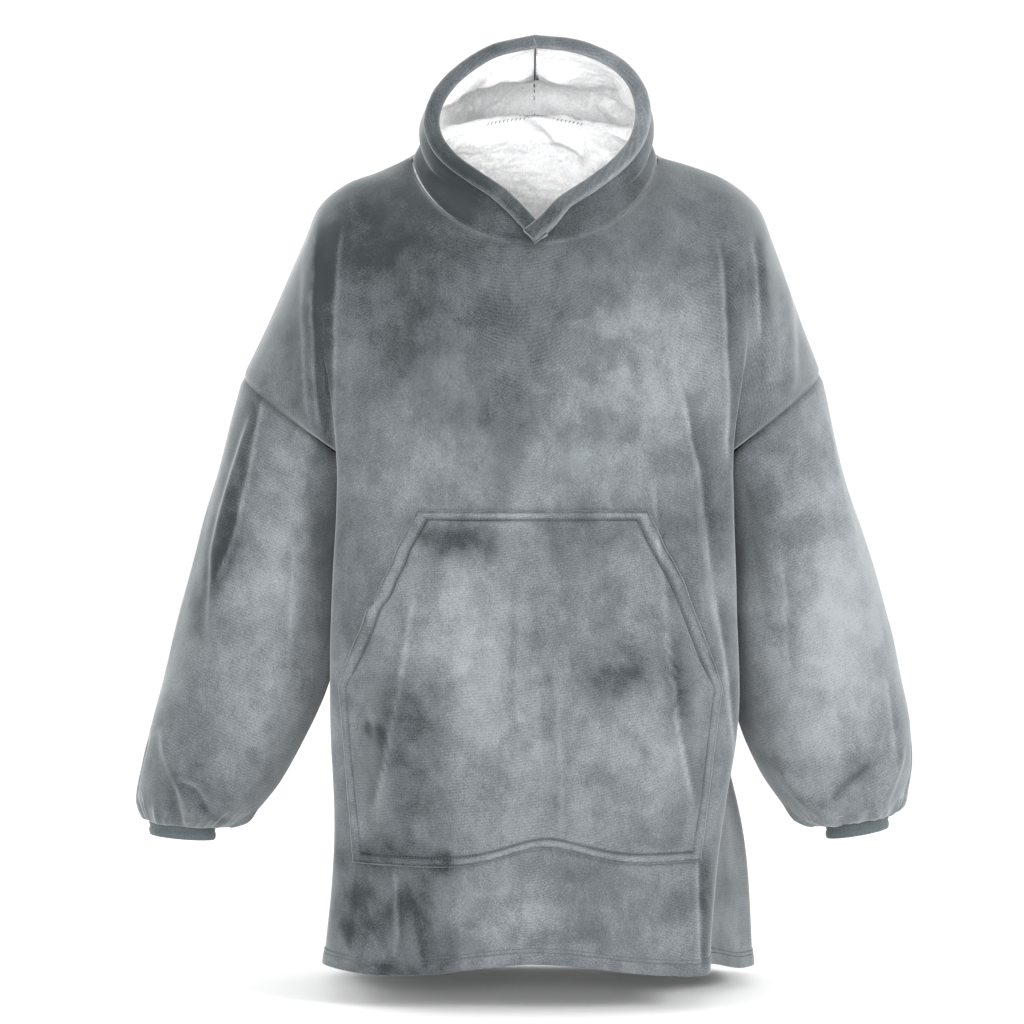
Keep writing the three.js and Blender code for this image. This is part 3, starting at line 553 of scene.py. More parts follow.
class Nodes:
    """A material's node tree, filled one node at a time."""

    def __init__(self, name: str) -> None:
        """Starts an empty material of that name."""
        self.material = bpy.data.materials.new(name)
        self.material.use_nodes = True
        self.tree = self.material.node_tree
        self.tree.nodes.clear()

    def add(
        self, kind: str, links: dict | None = None, settings: dict | None = None, **values: object
    ) -> bpy.types.Node:
        """Adds a node.

        Args:
            kind: The node's type, without "ShaderNode".
            links: Sockets that feed it, by the name or number of the input.
            settings: Properties of the node itself.
            **values: Fixed input values, with _ for a space in their names.

        Returns:
            The node.
        """
        node = self.tree.nodes.new("ShaderNode" + kind)
        for key, value in (settings or {}).items():
            setattr(node, key, value)
        for key, value in values.items():
            node.inputs[key.replace("_", " ")].default_value = value
        for key, socket in (links or {}).items():
            self.tree.links.new(socket, node.inputs[key])
        return node

    def math(self, operation: str, first: Socket, second: float, third: Socket | None = None) -> Socket:
        """Adds a sum.

        Args:
            operation: What it does.
            first: Its first value.
            second: Its fixed second value.
            third: Its third value, if it takes one.

        Returns:
            The result's socket.
        """
        links = {0: first} if third is None else {0: first, 2: third}
        node = self.add("Math", links, {"operation": operation})
        node.inputs[1].default_value = second
        return node.outputs[0]

    def finish(self, shader: bpy.types.Node) -> bpy.types.Material:
        """Ends the tree in that shader, and gives the material."""
        self.add("OutputMaterial", {"Surface": shader.outputs[0]})
        return self.material


@dataclass(frozen=True)
class FlannelFleece:
    """Warp-knitted flannel fleece with a short raised polyester nap, brushed and crushed in handling.

    The eye sees soft dark and light patches where the nap lies another way, a fine grain of fibre
    ends and faint ribs of the ground knit. A painted sheen mixes in a pale rim colour where the cloth
    turns away from view.
    """

    name: str
    dark: str = "292e30"
    middle: str = "565a5d"
    light: str = "818588"
    # painted sheen: the pale colour mixed in where the cloth turns away from view
    rim: str = "b7bbbd"
    sheen: float = 0.25
    rib_mm: float = 3.0  # the real ribs are near 1.2 mm, drawn coarser to show
    grain_mm: float = 1.4  # the real fibre ends are 0.3 mm, drawn coarser to show
    patch_mm: float = 24.0
    patch_strength: float = 0.12
    blotch_strength: float = 0.1
    grain_strength: float = 1.15
    rib_strength: float = 0.09

    def build(self) -> bpy.types.Material:
        """Makes the material."""
        n = Nodes(self.name)
        place = n.add("TexCoord").outputs["Object"]
        flat = n.add("UVMap", settings={"uv_map": "cloth"}).outputs["UV"]
        # the nap attribute also carries painted highlights and shade at folds, seams and edges
        nap = n.add("Attribute", settings={"attribute_name": "nap"}).outputs["Fac"]
        tall = n.add("Mapping", {"Vector": place}, Scale=(1.0, 1.0, 0.62))
        patches = n.add(
            "TexNoise", {"Vector": tall.outputs[0]},
            Scale=1 / (self.patch_mm * MM), Detail=5.0, Roughness=0.62, Distortion=0.35,
        )
        wide = 1 / (3.4 * self.patch_mm * MM)
        blotches = n.add("TexNoise", {"Vector": place}, Scale=wide, Detail=3.0, Roughness=0.5)
        fine = 1 / (self.grain_mm * MM)
        grain = n.add("TexNoise", {"Vector": place}, Scale=fine, Detail=3.0, Roughness=0.75)
        slanted = n.add("Mapping", {"Vector": flat}, Rotation=(0.0, 0.0, 0.16))
        ribs = n.add(
            "TexWave", {"Vector": slanted.outputs[0]}, {"bands_direction": "Y"},
            Scale=math.pi / (10 * self.rib_mm * MM), Distortion=1.2, Detail=2.0,
        )
        crushed = n.add(
            "MapRange", {"Value": patches.outputs["Fac"]}, {"interpolation_type": "SMOOTHSTEP"},
            From_Min=0.36, From_Max=0.62,
        )
        total = nap
        for source, strength in (
            (crushed.outputs["Result"], self.patch_strength), (blotches.outputs["Fac"], self.blotch_strength),
            (grain.outputs["Fac"], self.grain_strength), (ribs.outputs["Fac"], self.rib_strength),
        ):
            total = n.math("MULTIPLY_ADD", n.math("SUBTRACT", source, 0.5), strength, total)
        ramp = n.add("ValToRGB", {"Fac": total})
        stops = ramp.color_ramp.elements
        stops[0].position, stops[0].color = 0.0, linear(self.dark)
        stops[1].position, stops[1].color = 1.0, linear(self.light)
        stops.new(0.5).color = linear(self.middle)
        # painted sheen: the colour leans to the pale rim colour as the surface turns away from view
        turning = n.add("LayerWeight", Blend=0.3).outputs["Facing"]
        edge = n.math("POWER", turning, 2.6)
        colour = n.add("Mix", {"Factor": edge, "A": ramp.outputs["Color"]}, {"data_type": "RGBA"})
        colour.inputs["B"].default_value = linear(self.rim)
        height = n.math("MULTIPLY_ADD", ribs.outputs["Fac"], 0.1, grain.outputs["Fac"])
        bump = n.add("Bump", {"Height": height}, Strength=0.6, Distance=0.0011)
        shader = n.add(
            "BsdfPrincipled",
            {"Base Color": colour.outputs["Result"], "Normal": bump.outputs["Normal"]},
            Roughness=0.88, IOR=1.45, Specular_IOR_Level=0.15, Sheen_Weight=self.sheen, Sheen_Roughness=0.42,
            Sheen_Tint=linear("dfe6e8"),
        )
        return n.finish(shader)


@dataclass(frozen=True)
class CuffKnit:
    """Close-napped rib knit, sewn on as cut. Darker and plainer than the fleece, with fine upright ribs."""

    name: str
    dark: str = "30373a"
    light: str = "545c5f"
    rib_mm: float = 2.6

    def build(self) -> bpy.types.Material:
        """Makes the material."""
        n = Nodes(self.name)
        place = n.add("TexCoord").outputs["Object"]
        flat = n.add("UVMap", settings={"uv_map": "cloth"}).outputs["UV"]
        grain = n.add("TexNoise", {"Vector": place}, Scale=700.0, Detail=3.0)
        ribs = n.add(
            "TexWave", {"Vector": flat}, {"bands_direction": "X"},
            Scale=math.pi / (10 * self.rib_mm * MM), Distortion=0.6,
        )
        mixed = n.math("MULTIPLY_ADD", ribs.outputs["Fac"], 0.35, grain.outputs["Fac"])
        ramp = n.add("ValToRGB", {"Fac": mixed})
        stops = ramp.color_ramp.elements
        stops[0].color, stops[1].color = linear(self.dark), linear(self.light)
        bump = n.add("Bump", {"Height": mixed}, Strength=0.6, Distance=0.0009)
        shader = n.add(
            "BsdfPrincipled", {"Base Color": ramp.outputs["Color"], "Normal": bump.outputs["Normal"]},
            Roughness=0.9, IOR=1.45, Specular_IOR_Level=0.15, Sheen_Weight=0.25, Sheen_Roughness=0.5,
        )
        return n.finish(shader)


@dataclass(frozen=True)
class CurlyPile:
    """Off-white polyester pile, tumbled into curls. Bright tips, with painted shade in cool grey between the
    clumps.
    """

    name: str
    # painted shade: the cool grey given to the hollows between the curls
    shade: str = "cfd1d5"
    tips: str = "f0f0ef"
    curl_mm: float = 3.2
    fibre_mm: float = 0.9

    def build(self) -> bpy.types.Material:
        """Makes the material."""
        n = Nodes(self.name)
        place = n.add("TexCoord").outputs["Object"]
        curls = n.add(
            "TexNoise", {"Vector": place},
            Scale=1 / (self.curl_mm * MM), Detail=4.0, Roughness=0.65, Distortion=1.2,
        )
        fibres = n.add("TexNoise", {"Vector": place}, Scale=1 / (self.fibre_mm * MM), Detail=2.0)
        height = n.math("MULTIPLY_ADD", fibres.outputs["Fac"], 0.35, curls.outputs["Fac"])
        # the curl noise's hollows, which the bump also sinks, take the painted grey shade
        ramp = n.add("ValToRGB", {"Fac": curls.outputs["Fac"]})
        stops = ramp.color_ramp.elements
        stops[0].position, stops[0].color = 0.3, linear(self.shade)
        stops[1].position, stops[1].color = 0.58, linear(self.tips)
        bump = n.add("Bump", {"Height": height}, Strength=0.55, Distance=0.0016)
        shader = n.add(
            "BsdfPrincipled", {"Base Color": ramp.outputs["Color"], "Normal": bump.outputs["Normal"]},
            Roughness=0.95, IOR=1.45, Specular_IOR_Level=0.1, Sheen_Weight=0.3, Sheen_Roughness=0.6,
            Subsurface_Weight=0.12, Subsurface_Scale=0.004,
        )
        return n.finish(shader)


@dataclass(frozen=True)
class SpunThread:
    """Spun polyester sewing thread, with the soft shine of its twist."""

    name: str
    colour: str

    def build(self) -> bpy.types.Material:
        """Makes the material."""
        n = Nodes(self.name)
        place = n.add("TexCoord").outputs["Object"]
        twist = n.add("TexNoise", {"Vector": place}, Scale=1400.0, Detail=1.0)
        bump = n.add("Bump", {"Height": twist.outputs["Fac"]}, Strength=0.4, Distance=0.0003)
        shade = n.add("Mix", {"Factor": twist.outputs["Fac"]}, {"data_type": "RGBA"})
        shade.inputs["A"].default_value = linear(self.colour)
        shade.inputs["B"].default_value = tuple(c * 1.5 for c in linear(self.colour)[:3]) + (1.0,)
        shader = n.add(
            "BsdfPrincipled", {"Base Color": shade.outputs["Result"], "Normal": bump.outputs["Normal"]},
            Roughness=0.6, IOR=1.5,
        )
        return n.finish(shader)


class Finishes:
    """Every material of the garment."""

    def __init__(self) -> None:
        """Makes them all."""
        self.fleece = FlannelFleece("brushed_flannel_fleece").build()
        self.knit = CuffKnit("napped_rib_knit").build()
        self.pile = CurlyPile("tumbled_curly_pile").build()
        self.grey_thread = SpunThread("grey_spun_thread", "3b4346").build()
        self.dark_thread = SpunThread("dark_spun_thread", "17191c").build()


@dataclass
class Stitching:
    """Runs of thread, each stitch a small tapered length that dips at its ends."""

    finish: bpy.types.Material
    pitch: float = 3.4
    length: float = 2.7
    thick: float = 0.55
    sides: int = 5
    flatness: float = 0.8
    # share along the stitch, share of its thickness, and lift off the cloth in thicknesses
    stations: tuple = ((-0.5, 0.35, -0.5), (-0.3, 1.0, 0.35), (0.3, 1.0, 0.35), (0.5, 0.35, -0.5))

    def run(self, name: str, paths: Iterable[tuple[Array, Array]], slant: float = 0.0) -> bpy.types.Object:
        """Sews along paths.

        Args:
            name: The piece's name.
            paths: Points along each run in millimetres, with the outward normals there.
            slant: Turn of each stitch out of the run's line, in degrees.

        Returns:
            One mesh object that holds every stitch.
        """
        vertices: list[Array] = []
        faces: list[Array] = []
        around, base, stations = self.sides, 0, self.stations
        for points, normals in paths:
            lengths = np.concatenate([[0.0], np.cumsum(np.linalg.norm(np.diff(points, axis=0), axis=1))])
            for at in np.arange(self.pitch / 2, lengths[-1], self.pitch):
                place, ahead, out = (
                    np.array([np.interp(at + step, lengths, source[:, k]) for k in range(3)])
                    for step, source in ((0.0, points), (0.5, points), (0.0, normals))
                )
                out = unit(out)
                along = unit(ahead - place + 1e-9)
                aside = unit(np.cross(out, along))
                turn = math.radians(slant)
                along = along * math.cos(turn) + aside * math.sin(turn)
                aside = unit(np.cross(out, along))
                for share, fat, lift in stations:
                    middle = place + along * share * self.length + out * lift * self.thick
                    for k in range(around):
                        a = 2 * math.pi * k / around
                        spoke = aside * math.cos(a) + out * math.sin(a) * self.flatness
                        vertices.append(middle + spoke * self.thick * fat)
                for s in range(len(stations) - 1):
                    for k in range(around):
                        a, b = base + s * around + k, base + s * around + (k + 1) % around
                        faces.append((a, b, b + around, a + around))
                last = base + (len(stations) - 1) * around
                faces.append(tuple(base + k for k in reversed(range(around))))
                faces.append(tuple(last + k for k in range(around)))
                base += len(stations) * around
        mesh = bpy.data.meshes.new(name)
        mesh.from_pydata((np.array(vertices) * MM).tolist(), [], faces)
        mesh.polygons.foreach_set("use_smooth", np.ones(len(faces), bool))
        mesh.materials.append(self.finish)
        piece = placed(name, mesh)
        face_outward(piece)
        return piece


class ShoulderPoint(NamedTuple):
    """A point of a shoulder line."""

    out: float
    y: float
    z: float


class Ring(NamedTuple):
    """Half a section of the body at one level: lobe corners, returns under the arm and side seam."""

    z: float
    front: float
    corner_x: float
    corner_y: float
    return_x: float
    return_y: float
    seam_x: float
    seam_y: float
    back_return_x: float
    back_return_y: float
    back_corner_x: float
    back_corner_y: float
    back: float


class Fold(NamedTuple):
    """A large fold down the front or back, with its own width to either side."""

    x0: float
    z0: float
    x1: float
    z1: float
    depth: float
    to_right: float
    to_left: float


class Reach(NamedTuple):
    """How far a panel's columns reach out before they turn down."""

    neck_out: float
    neck_down: float
    shoulder_out: float
    shoulder_down: float
    arm_out: float
    arm_down: float
    chest_up: float


@dataclass
class Body:
    """The front and back panels, with the nap of the whole front and the painted light and shade along its
    folds and seams.
    """

    finishes: Finishes
    neck_half_width: float = 133.0
    neck_front: float = 119.0
    neck_back: float = 95.0
    shoulder_y: float = -4.0
    neck_drop: float = 97.0
    nape_rise: float = 46.0
    neck_share: float = 0.385
    armpit_z: float = -345.0
    hem_z: float = -886.0
    hem_rise: float = 26.0
    hem_wave: float = 8.0
    hem_turned: float = 17.0
    hem_row_gap: float = 4.5
    hem_raised: float = 1.5
    hem_groove: float = 1.3
    hem_pucker: float = 0.9
    armhole_dip: float = 2.4
    side_seam_dip: float = 1.2
    top_seam_dip: float = 2.2
    stroke_wobble: tuple[float, float] = (17.0, 20.0)
    line_wobble: float = 2.5
    raggedness: float = 0.7
    # painted highlight along the neck seam's edge
    seam_painted_highlight: float = 0.2
    # painted shade in the side and armhole seam troughs
    seam_painted_shade: float = 0.22
    fan: float = 62.0
    neck_columns: int = 40
    arm_columns: int = 84
    yoke_rows: int = 80
    skirt_rows: int = 66
    hem_rows: int = 16
    hem_side_z: dict = field(default_factory=lambda: {Side.RIGHT: -868.0, Side.LEFT: -882.0})
    hem_side: dict = field(default_factory=lambda: {Face.FRONT: (0.6, 0.95), Face.BACK: (0.7, 1.0)})
    shoulders: dict = field(
        default_factory=lambda: {
            Side.RIGHT: (
                ShoulderPoint(133, -4, 0), ShoulderPoint(162, -1, -14), ShoulderPoint(201, 0, -28),
                ShoulderPoint(232, 0, -52), ShoulderPoint(250, 1, -92), ShoulderPoint(288, 2, -178),
                ShoulderPoint(317, 4, -238),
            ),
            Side.LEFT: (
                ShoulderPoint(133, -4, 0), ShoulderPoint(168, -1, -10), ShoulderPoint(206, 0, -25),
                ShoulderPoint(240, 0, -53), ShoulderPoint(258, 1, -95), ShoulderPoint(288, 2, -178),
                ShoulderPoint(310, 4, -234),
            ),
        }
    )
    rings: dict = field(
        default_factory=lambda: {
            Side.RIGHT: (
                Ring(-886, 166, 226, 94, 224, 42, 228, 6, 226, 56, 216, 104, 152),
                Ring(-740, 164, 213, 101, 203, 44, 196, 6, 204, 52, 212, 102, 146),
                Ring(-600, 160, 218, 99, 194, 38, 168, 6, 188, 44, 207, 98, 139),
                Ring(-480, 155, 216, 97, 184, 36, 164, 6, 180, 42, 204, 96, 133),
                Ring(-345, 149, 211, 92, 184, 46, 184, 5, 184, 48, 200, 91, 128),
            ),
            Side.LEFT: (
                Ring(-886, 166, 178, 134, 186, 74, 240, 14, 238, 52, 222, 104, 152),
                Ring(-740, 164, 192, 120, 189, 66, 229, 8, 226, 50, 217, 102, 146),
                Ring(-600, 160, 214, 104, 198, 44, 194, 6, 200, 46, 210, 98, 139),
                Ring(-480, 155, 213, 98, 184, 36, 164, 6, 180, 42, 204, 96, 133),
                Ring(-345, 149, 209, 92, 184, 46, 184, 5, 184, 48, 200, 91, 128),
            ),
        }
    )
    reach: dict = field(
        default_factory=lambda: {
            Face.FRONT: Reach(28, 75, 76, 24, 112, 10, 150),
            Face.BACK: Reach(22, 60, 70, 22, 106, 10, 150),
        }
    )
    folds: dict = field(
        default_factory=lambda: {
            Face.FRONT: (
                Fold(-204, -58, -210, -335, 13, 13, 60),
                Fold(203, -72, 210, -335, 12, 60, 12),
                Fold(-238, -62, -232, -290, 12, 9, 22),
                Fold(246, -85, 250, -260, 10, 24, 10),
                Fold(154, -250, 196, -560, 8, 12, 42),
                Fold(129, -400, 160, -680, 6, 14, 24),
                Fold(-127, -455, -160, -680, 6, 26, 18),
                Fold(-4, -440, 12, -690, -7, 20, 20),
                Fold(38, -480, 44, -800, 5, 22, 20),
                Fold(-205, -600, -150, -880, -6, 20, 20),
            ),
            Face.BACK: (
                Fold(-150, -150, -176, -560, 10, 40, 15),
                Fold(158, -180, 172, -520, 9, 15, 42),
                Fold(-60, -470, -80, -880, 8, 30, 24),
                Fold(20, -380, 36, -880, -7, 26, 26),
                Fold(96, -520, 120, -880, 8, 22, 34),
                Fold(-236, -80, -236, -290, 9, 12, 22),
            ),
        }
    )
    creases: dict = field(
        default_factory=lambda: {
            Face.FRONT: (
                # hanging lines over the wearer's left sleeve head
                Crease((192, -110), (204, -330), -4, 9, 8),
                Crease((226, -105), (232, -260), -4, 8, 8),
                Crease((268, -130), (270, -275), 4, 9, 8),
                # soft pull lines from the shoulders across the chest
                Crease((-150, -70), (-165, -300), 3, 16, 14, 8),
                Crease((-128, -95), (-118, -210), -2.5, 9, 8, -5),
                Crease((-96, -150), (-150, -235), 2.5, 9, 10),
                Crease((-60, -140), (-96, -330), -2, 18, 16),
                Crease((60, -150), (110, -330), 2.5, 22, 18),
                Crease((-20, -215), (60, -240), -2, 12, 12),
                # slack above and beside the pocket
                Crease((-190, -300), (-120, -470), -3, 14, 12, 6),
                Crease((-185, -420), (-150, -505), 3, 10, 9),
                Crease((170, -330), (196, -520), -5, 8, 8),
                # crumpled corner above the hem on the wearer's right
                Crease((-205, -735), (-150, -860), -3.5, 8, 7, 6),
                Crease((-165, -770), (-178, -866), 4, 7, 6),
                Crease((-190, -790), (-158, -840), -3, 6, 6),
                Crease((-140, -765), (-110, -858), -3, 7, 8, -6),
                Crease((-118, -768), (-96, -866), 2.5, 9, 8),
                Crease((-208, -812), (-182, -862), 3.5, 7, 7),
                Crease((-90, -790), (-60, -866), -2, 12, 10),
                # long soft lines to the hem elsewhere
                Crease((10, -760), (-6, -860), -2, 14, 12),
                Crease((70, -765), (84, -868), 2.5, 16, 12),
                Crease((128, -770), (150, -872), -3, 12, 10),
                Crease((208, -700), (222, -868), 4, 10, 9),
            ),
            Face.BACK: (
                Crease((-90, -60), (-130, -330), 3, 18, 16, 10),
                Crease((92, -60), (126, -310), -2.5, 18, 16, -8),
                Crease((-20, -120), (-44, -420), 2, 24, 22),
                Crease((200, -100), (206, -320), -4, 9, 8),
                Crease((-200, -90), (-206, -320), -4, 9, 8),
                Crease((-180, -420), (-120, -640), -3.5, 15, 13, 8),
                Crease((184, -400), (130, -600), 3, 14, 14, -8),
                Crease((-150, -720), (-120, -868), -4, 14, 10),
                Crease((-10, -600), (8, -868), 3.5, 16, 14, 5),
                Crease((170, -690), (186, -868), -4, 12, 10),
                Crease((60, -760), (48, -868), -3, 10, 9),
            ),
        }
    )
    tones: tuple = (
        # broad tones: dark about the hood and shoulders, pale on the pocket; the pale tone on the left sleeve
        # is painted light, on the side where the key light falls
        NapStroke(-60, -30, 330, 140, -0.26), NapStroke(-215, -180, 90, 190, -0.14),
        NapStroke(10, -570, 150, 150, 0.13), NapStroke(330, -520, 90, 260, 0.28),
        NapStroke(-300, -520, 90, 240, 0.05), NapStroke(20, -830, 150, 60, 0.04),
        NapStroke(60, -300, 120, 110, 0.04), NapStroke(-92, -30, 44, 34, -0.3),
        NapStroke(-190, -480, 24, 70, -0.14),
    )
    # painted fold light: a thin painted highlight along each fold edge, with a strip of painted shade beside
    # it
    lines: tuple = (
        PaintedFoldShading((-204, -66), (-212, -345), 0.26, -0.2, 20, 4),
        PaintedFoldShading((-231, -62), (-226, -300), 0.26, -0.26, -9, 8),
        PaintedFoldShading((-246, -80), (-240, -280), 0.22, -0.2, 14, 5),
        PaintedFoldShading((194, -92), (203, -330), 0.3, -0.3, -20, -3),
        PaintedFoldShading((231, -84), (237, -200), 0.22, -0.2, -12),
        PaintedFoldShading((280, -156), (278, -232), 0.2, -0.16, -10),
        PaintedFoldShading((123, -345), (136, -492), 0.16, -0.12, -16),
        PaintedFoldShading((136, -492), (166, -690), 0.26, -0.22, -22, 4),
        PaintedFoldShading((153, -250), (186, -458), 0.24, -0.26, -18, -3),
        PaintedFoldShading((186, -458), (212, -650), 0.3, -0.3, -16, -2),
        PaintedFoldShading((-127, -465), (-152, -610), 0.2, -0.1, 12),
        PaintedFoldShading((-150, -600), (-167, -690), 0.26, -0.18, 16),
        PaintedFoldShading((-22, -452), (-24, -625), -0.12, -0.06, 10),
        PaintedFoldShading((21, -540), (27, -715), 0.1, -0.12, 14),
        PaintedFoldShading((171, -740), (173, -862), 0.26, -0.34, -16),
        PaintedFoldShading((-146, -760), (-147, -850), 0.26, -0.2, -10),
        PaintedFoldShading((-134, -768), (-112, -862), -0.16, -0.1, 8),
        PaintedFoldShading((-180, -772), (-196, -846), -0.14, -0.12, 8, 5),
        # sleeves
        PaintedFoldShading((-291, -258), (-310, -360), 0.26, -0.26, 20),
        PaintedFoldShading((-309, -352), (-343, -458), 0.3, -0.3, 20, -4),
        PaintedFoldShading((-356, -690), (-330, -716), -0.2, -0.16, 8, 6),
        PaintedFoldShading((-380, -668), (-352, -700), 0.18, -0.2, 8, -8),
        PaintedFoldShading((316, -690), (362, -650), -0.26, -0.14, 7, -4),
        PaintedFoldShading((376, -560), (388, -660), 0.16, -0.16, -12),
        PaintedFoldShading((262, -420), (270, -560), 0.12, -0.12, -14),
        PaintedFoldShading((-258, -420), (-264, -560), 0.12, -0.12, 12),
    )
    strokes: tuple = (
        # shoulders and neck
        NapStroke(-190, -85, 60, 80, -0.14, 20), NapStroke(-120, -60, 70, 60, -0.1),
        NapStroke(-245, -150, 26, 110, -0.16, 8), NapStroke(-10, -150, 120, 46, -0.05),
        NapStroke(110, -90, 80, 60, -0.04), NapStroke(215, -120, 40, 120, -0.03),
        # chest
        NapStroke(-125, -190, 40, 70, -0.16, -12), NapStroke(-60, -215, 50, 46, -0.12, 10),
        NapStroke(-30, -270, 46, 34, -0.22, 8), NapStroke(20, -230, 70, 30, -0.05),
        NapStroke(95, -190, 60, 90, 0.16, -16), NapStroke(150, -240, 30, 110, 0.1, -8),
        NapStroke(-140, -330, 40, 60, 0.1), NapStroke(-60, -360, 60, 60, 0.05),
        NapStroke(60, -330, 60, 60, 0.03), NapStroke(-35, -330, 24, 60, -0.12),
        NapStroke(-100, -280, 24, 40, -0.14, 24), NapStroke(170, -380, 26, 90, -0.16, -6),
        # pocket
        NapStroke(-84, -404, 40, 24, -0.46), NapStroke(-98, -420, 16, 18, -0.16),
        NapStroke(60, -400, 60, 22, -0.2, 4), NapStroke(-70, -520, 44, 110, 0.16, 8),
        NapStroke(20, -470, 24, 80, -0.12), NapStroke(88, -545, 34, 22, -0.4, 20),
        NapStroke(70, -490, 24, 50, -0.2), NapStroke(140, -560, 14, 30, -0.4),
        NapStroke(-130, -600, 36, 60, -0.32, -14), NapStroke(-168, -607, 12, 9, -0.6),
        NapStroke(-110, -680, 40, 46, -0.2), NapStroke(10, -620, 60, 60, 0.1),
        NapStroke(120, -640, 30, 80, 0.08), NapStroke(-20, -700, 70, 26, 0.06),
        NapStroke(48, -570, 24, 60, -0.18),
        # below the pocket
        NapStroke(-160, -745, 50, 20, -0.35), NapStroke(-95, -752, 18, 12, -0.42),
        NapStroke(-180, -800, 26, 34, -0.4, 20), NapStroke(-128, -800, 22, 46, -0.34, -20),
        NapStroke(-100, -840, 24, 30, -0.34), NapStroke(-150, -868, 40, 10, -0.4),
        NapStroke(-30, -800, 50, 30, 0.14), NapStroke(60, -790, 60, 50, -0.08),
        NapStroke(185, -790, 22, 80, -0.06),
        # sleeves
        NapStroke(-330, -330, 30, 120, -0.26, -8), NapStroke(-350, -450, 18, 70, -0.34, -14),
        NapStroke(-268, -420, 30, 140, 0.16, -6), NapStroke(-260, -600, 70, 80, 0.12),
        NapStroke(-370, -640, 20, 60, -0.1), NapStroke(-380, -690, 50, 40, -0.12),
        NapStroke(275, -430, 60, 50, -0.1, 10), NapStroke(250, -330, 40, 60, -0.12),
        NapStroke(330, -480, 50, 90, 0.18), NapStroke(300, -600, 60, 70, 0.05),
        NapStroke(352, -655, 34, 22, -0.3, 24), NapStroke(300, -690, 40, 20, -0.12),
    )

    def neck_point(self, face: Face, side: Side, angle: Array) -> Array:
        """Points of the neck seam, from the middle at 0 to the shoulder point at a quarter turn."""
        cosine = np.clip(np.cos(angle), 0.0, 1.0)
        front = face is Face.FRONT
        reach = -self.neck_front if front else self.neck_back
        height = -self.neck_drop * cosine**1.25 if front else self.nape_rise * cosine**1.6
        out = side.value * self.neck_half_width * np.sin(angle)
        return np.stack([out, lerp(self.shoulder_y, reach, cosine), height], axis=-1)

    def top_point(self, face: Face, side: Side, share: Array) -> Array:
        """Points of a half panel's top edge at shares of it from the middle."""
        line = Spline([(side.value * p.out, p.y, p.z) for p in self.shoulders[side]])
        neck = self.neck_point(face, side, np.minimum(share / self.neck_share, 1) * math.pi / 2)
        shoulder = line.along(np.clip((share - self.neck_share) / (1 - self.neck_share), 0, 1))
        return np.where((share < self.neck_share)[:, None], neck, shoulder)

    def ring(self, face: Face, side: Side, z: float) -> Spline:
        """Half a ring of the body, from the middle of a face to the side seam."""
        front, s, f = face is Face.FRONT, side.value, face.value
        prefix = "" if front else "back_"

        def at(column: str) -> float:
            """One value of this side's table at this level."""
            return float(column_at(self.rings[side], "z", np.array(z), column))

        middle = at("front" if front else "back")
        corner_x, corner_y = at(prefix + "corner_x"), at(prefix + "corner_y")
        lobe = [(s * corner_x * k, f * lerp(middle, corner_y, k**3), z) for k in (0.4, 0.75)]
        turn = (s * at(prefix + "return_x"), f * at(prefix + "return_y"), z)
        seam = (s * at("seam_x"), at("seam_y"), z)
        return Spline([(0.0, f * middle, z), *lobe, (s * corner_x, f * corner_y, z), turn, seam])

    def yoke(self, face: Face, side: Side, share: Array, foot: Array, steps: Array) -> Array:
        """Columns from the top edge to the armpit level.

        Args:
            face: The panel.
            side: The half of the panel.
            share: Shares of the half panel at its columns.
            foot: Where each column meets the armpit level.
            steps: Shares of each column where points are wanted.

        Returns:
            Points, columns first.
        """
        reach, facing, s = self.reach[face], face.value, side.value
        head = self.top_point(face, side, share)
        neck = smoothstep(share / self.neck_share, 0, 1)
        arm = np.maximum((share - self.neck_share) / (1 - self.neck_share), 0)
        settled = smoothstep(arm, 0, 0.4)
        out = lerp(lerp(reach.neck_out, reach.shoulder_out, neck), reach.arm_out, settled)
        down = lerp(lerp(reach.neck_down, reach.shoulder_down, neck), reach.arm_down, arm)
        wrap = smoothstep(share, 0.6, 1)
        first = head + np.stack([s * self.fan * neck * (1 - settled), facing * out, -down], axis=-1)
        chest = lerp(reach.chest_up, reach.arm_down, wrap)
        second = foot + np.stack([0 * wrap, facing * reach.arm_out * wrap, chest], axis=-1)
        t = steps[None, :, None]
        head, first, second, foot = (p[:, None, :] for p in (head, first, second, foot))
        return (1 - t) ** 3 * head + 3 * (1 - t) ** 2 * t * first + 3 * (1 - t) * t**2 * second + t**3 * foot

    def hem_level(self, face: Face, side: Side, share: Array) -> Array:
        """Level of the hem at shares of half a panel from the middle."""
        wave = self.hem_wave * np.cos(math.pi * share / 0.5)
        level = self.hem_z + (self.hem_rise + wave) * (face is Face.FRONT)
        return lerp(level, self.hem_side_z[side], smoothstep(share, *self.hem_side[face]))

    def shares(self) -> Array:
        """Shares of half a panel at its columns."""
        neck = np.linspace(0, self.neck_share, self.neck_columns + 1)
        return np.concatenate([neck, graded(self.neck_share, 1, self.arm_columns, 0.75)[1:]])

    def yoke_steps(self) -> Array:
        """Shares of a column, down to the armpit, at its rows."""
        return graded(0, 1, self.yoke_rows, 1.3)

    def eased(self, points: Array) -> Array:
        """Evens out the columns about the shoulder point, below the top edge."""
        spread = 12
        start, stop = self.neck_columns - spread, self.neck_columns + spread + 1
        below = smoothstep(np.arange(points.shape[1]), 0, 16)
        fade = np.hanning(2 * spread + 3)[1:-1, None, None] * below[None, :, None]
        for _ in range(60):
            beside = (points[start - 1 : stop - 1] + points[start + 1 : stop + 1]) / 2
            points[start:stop] = lerp(points[start:stop], beside, 0.5 * fade)
        return points

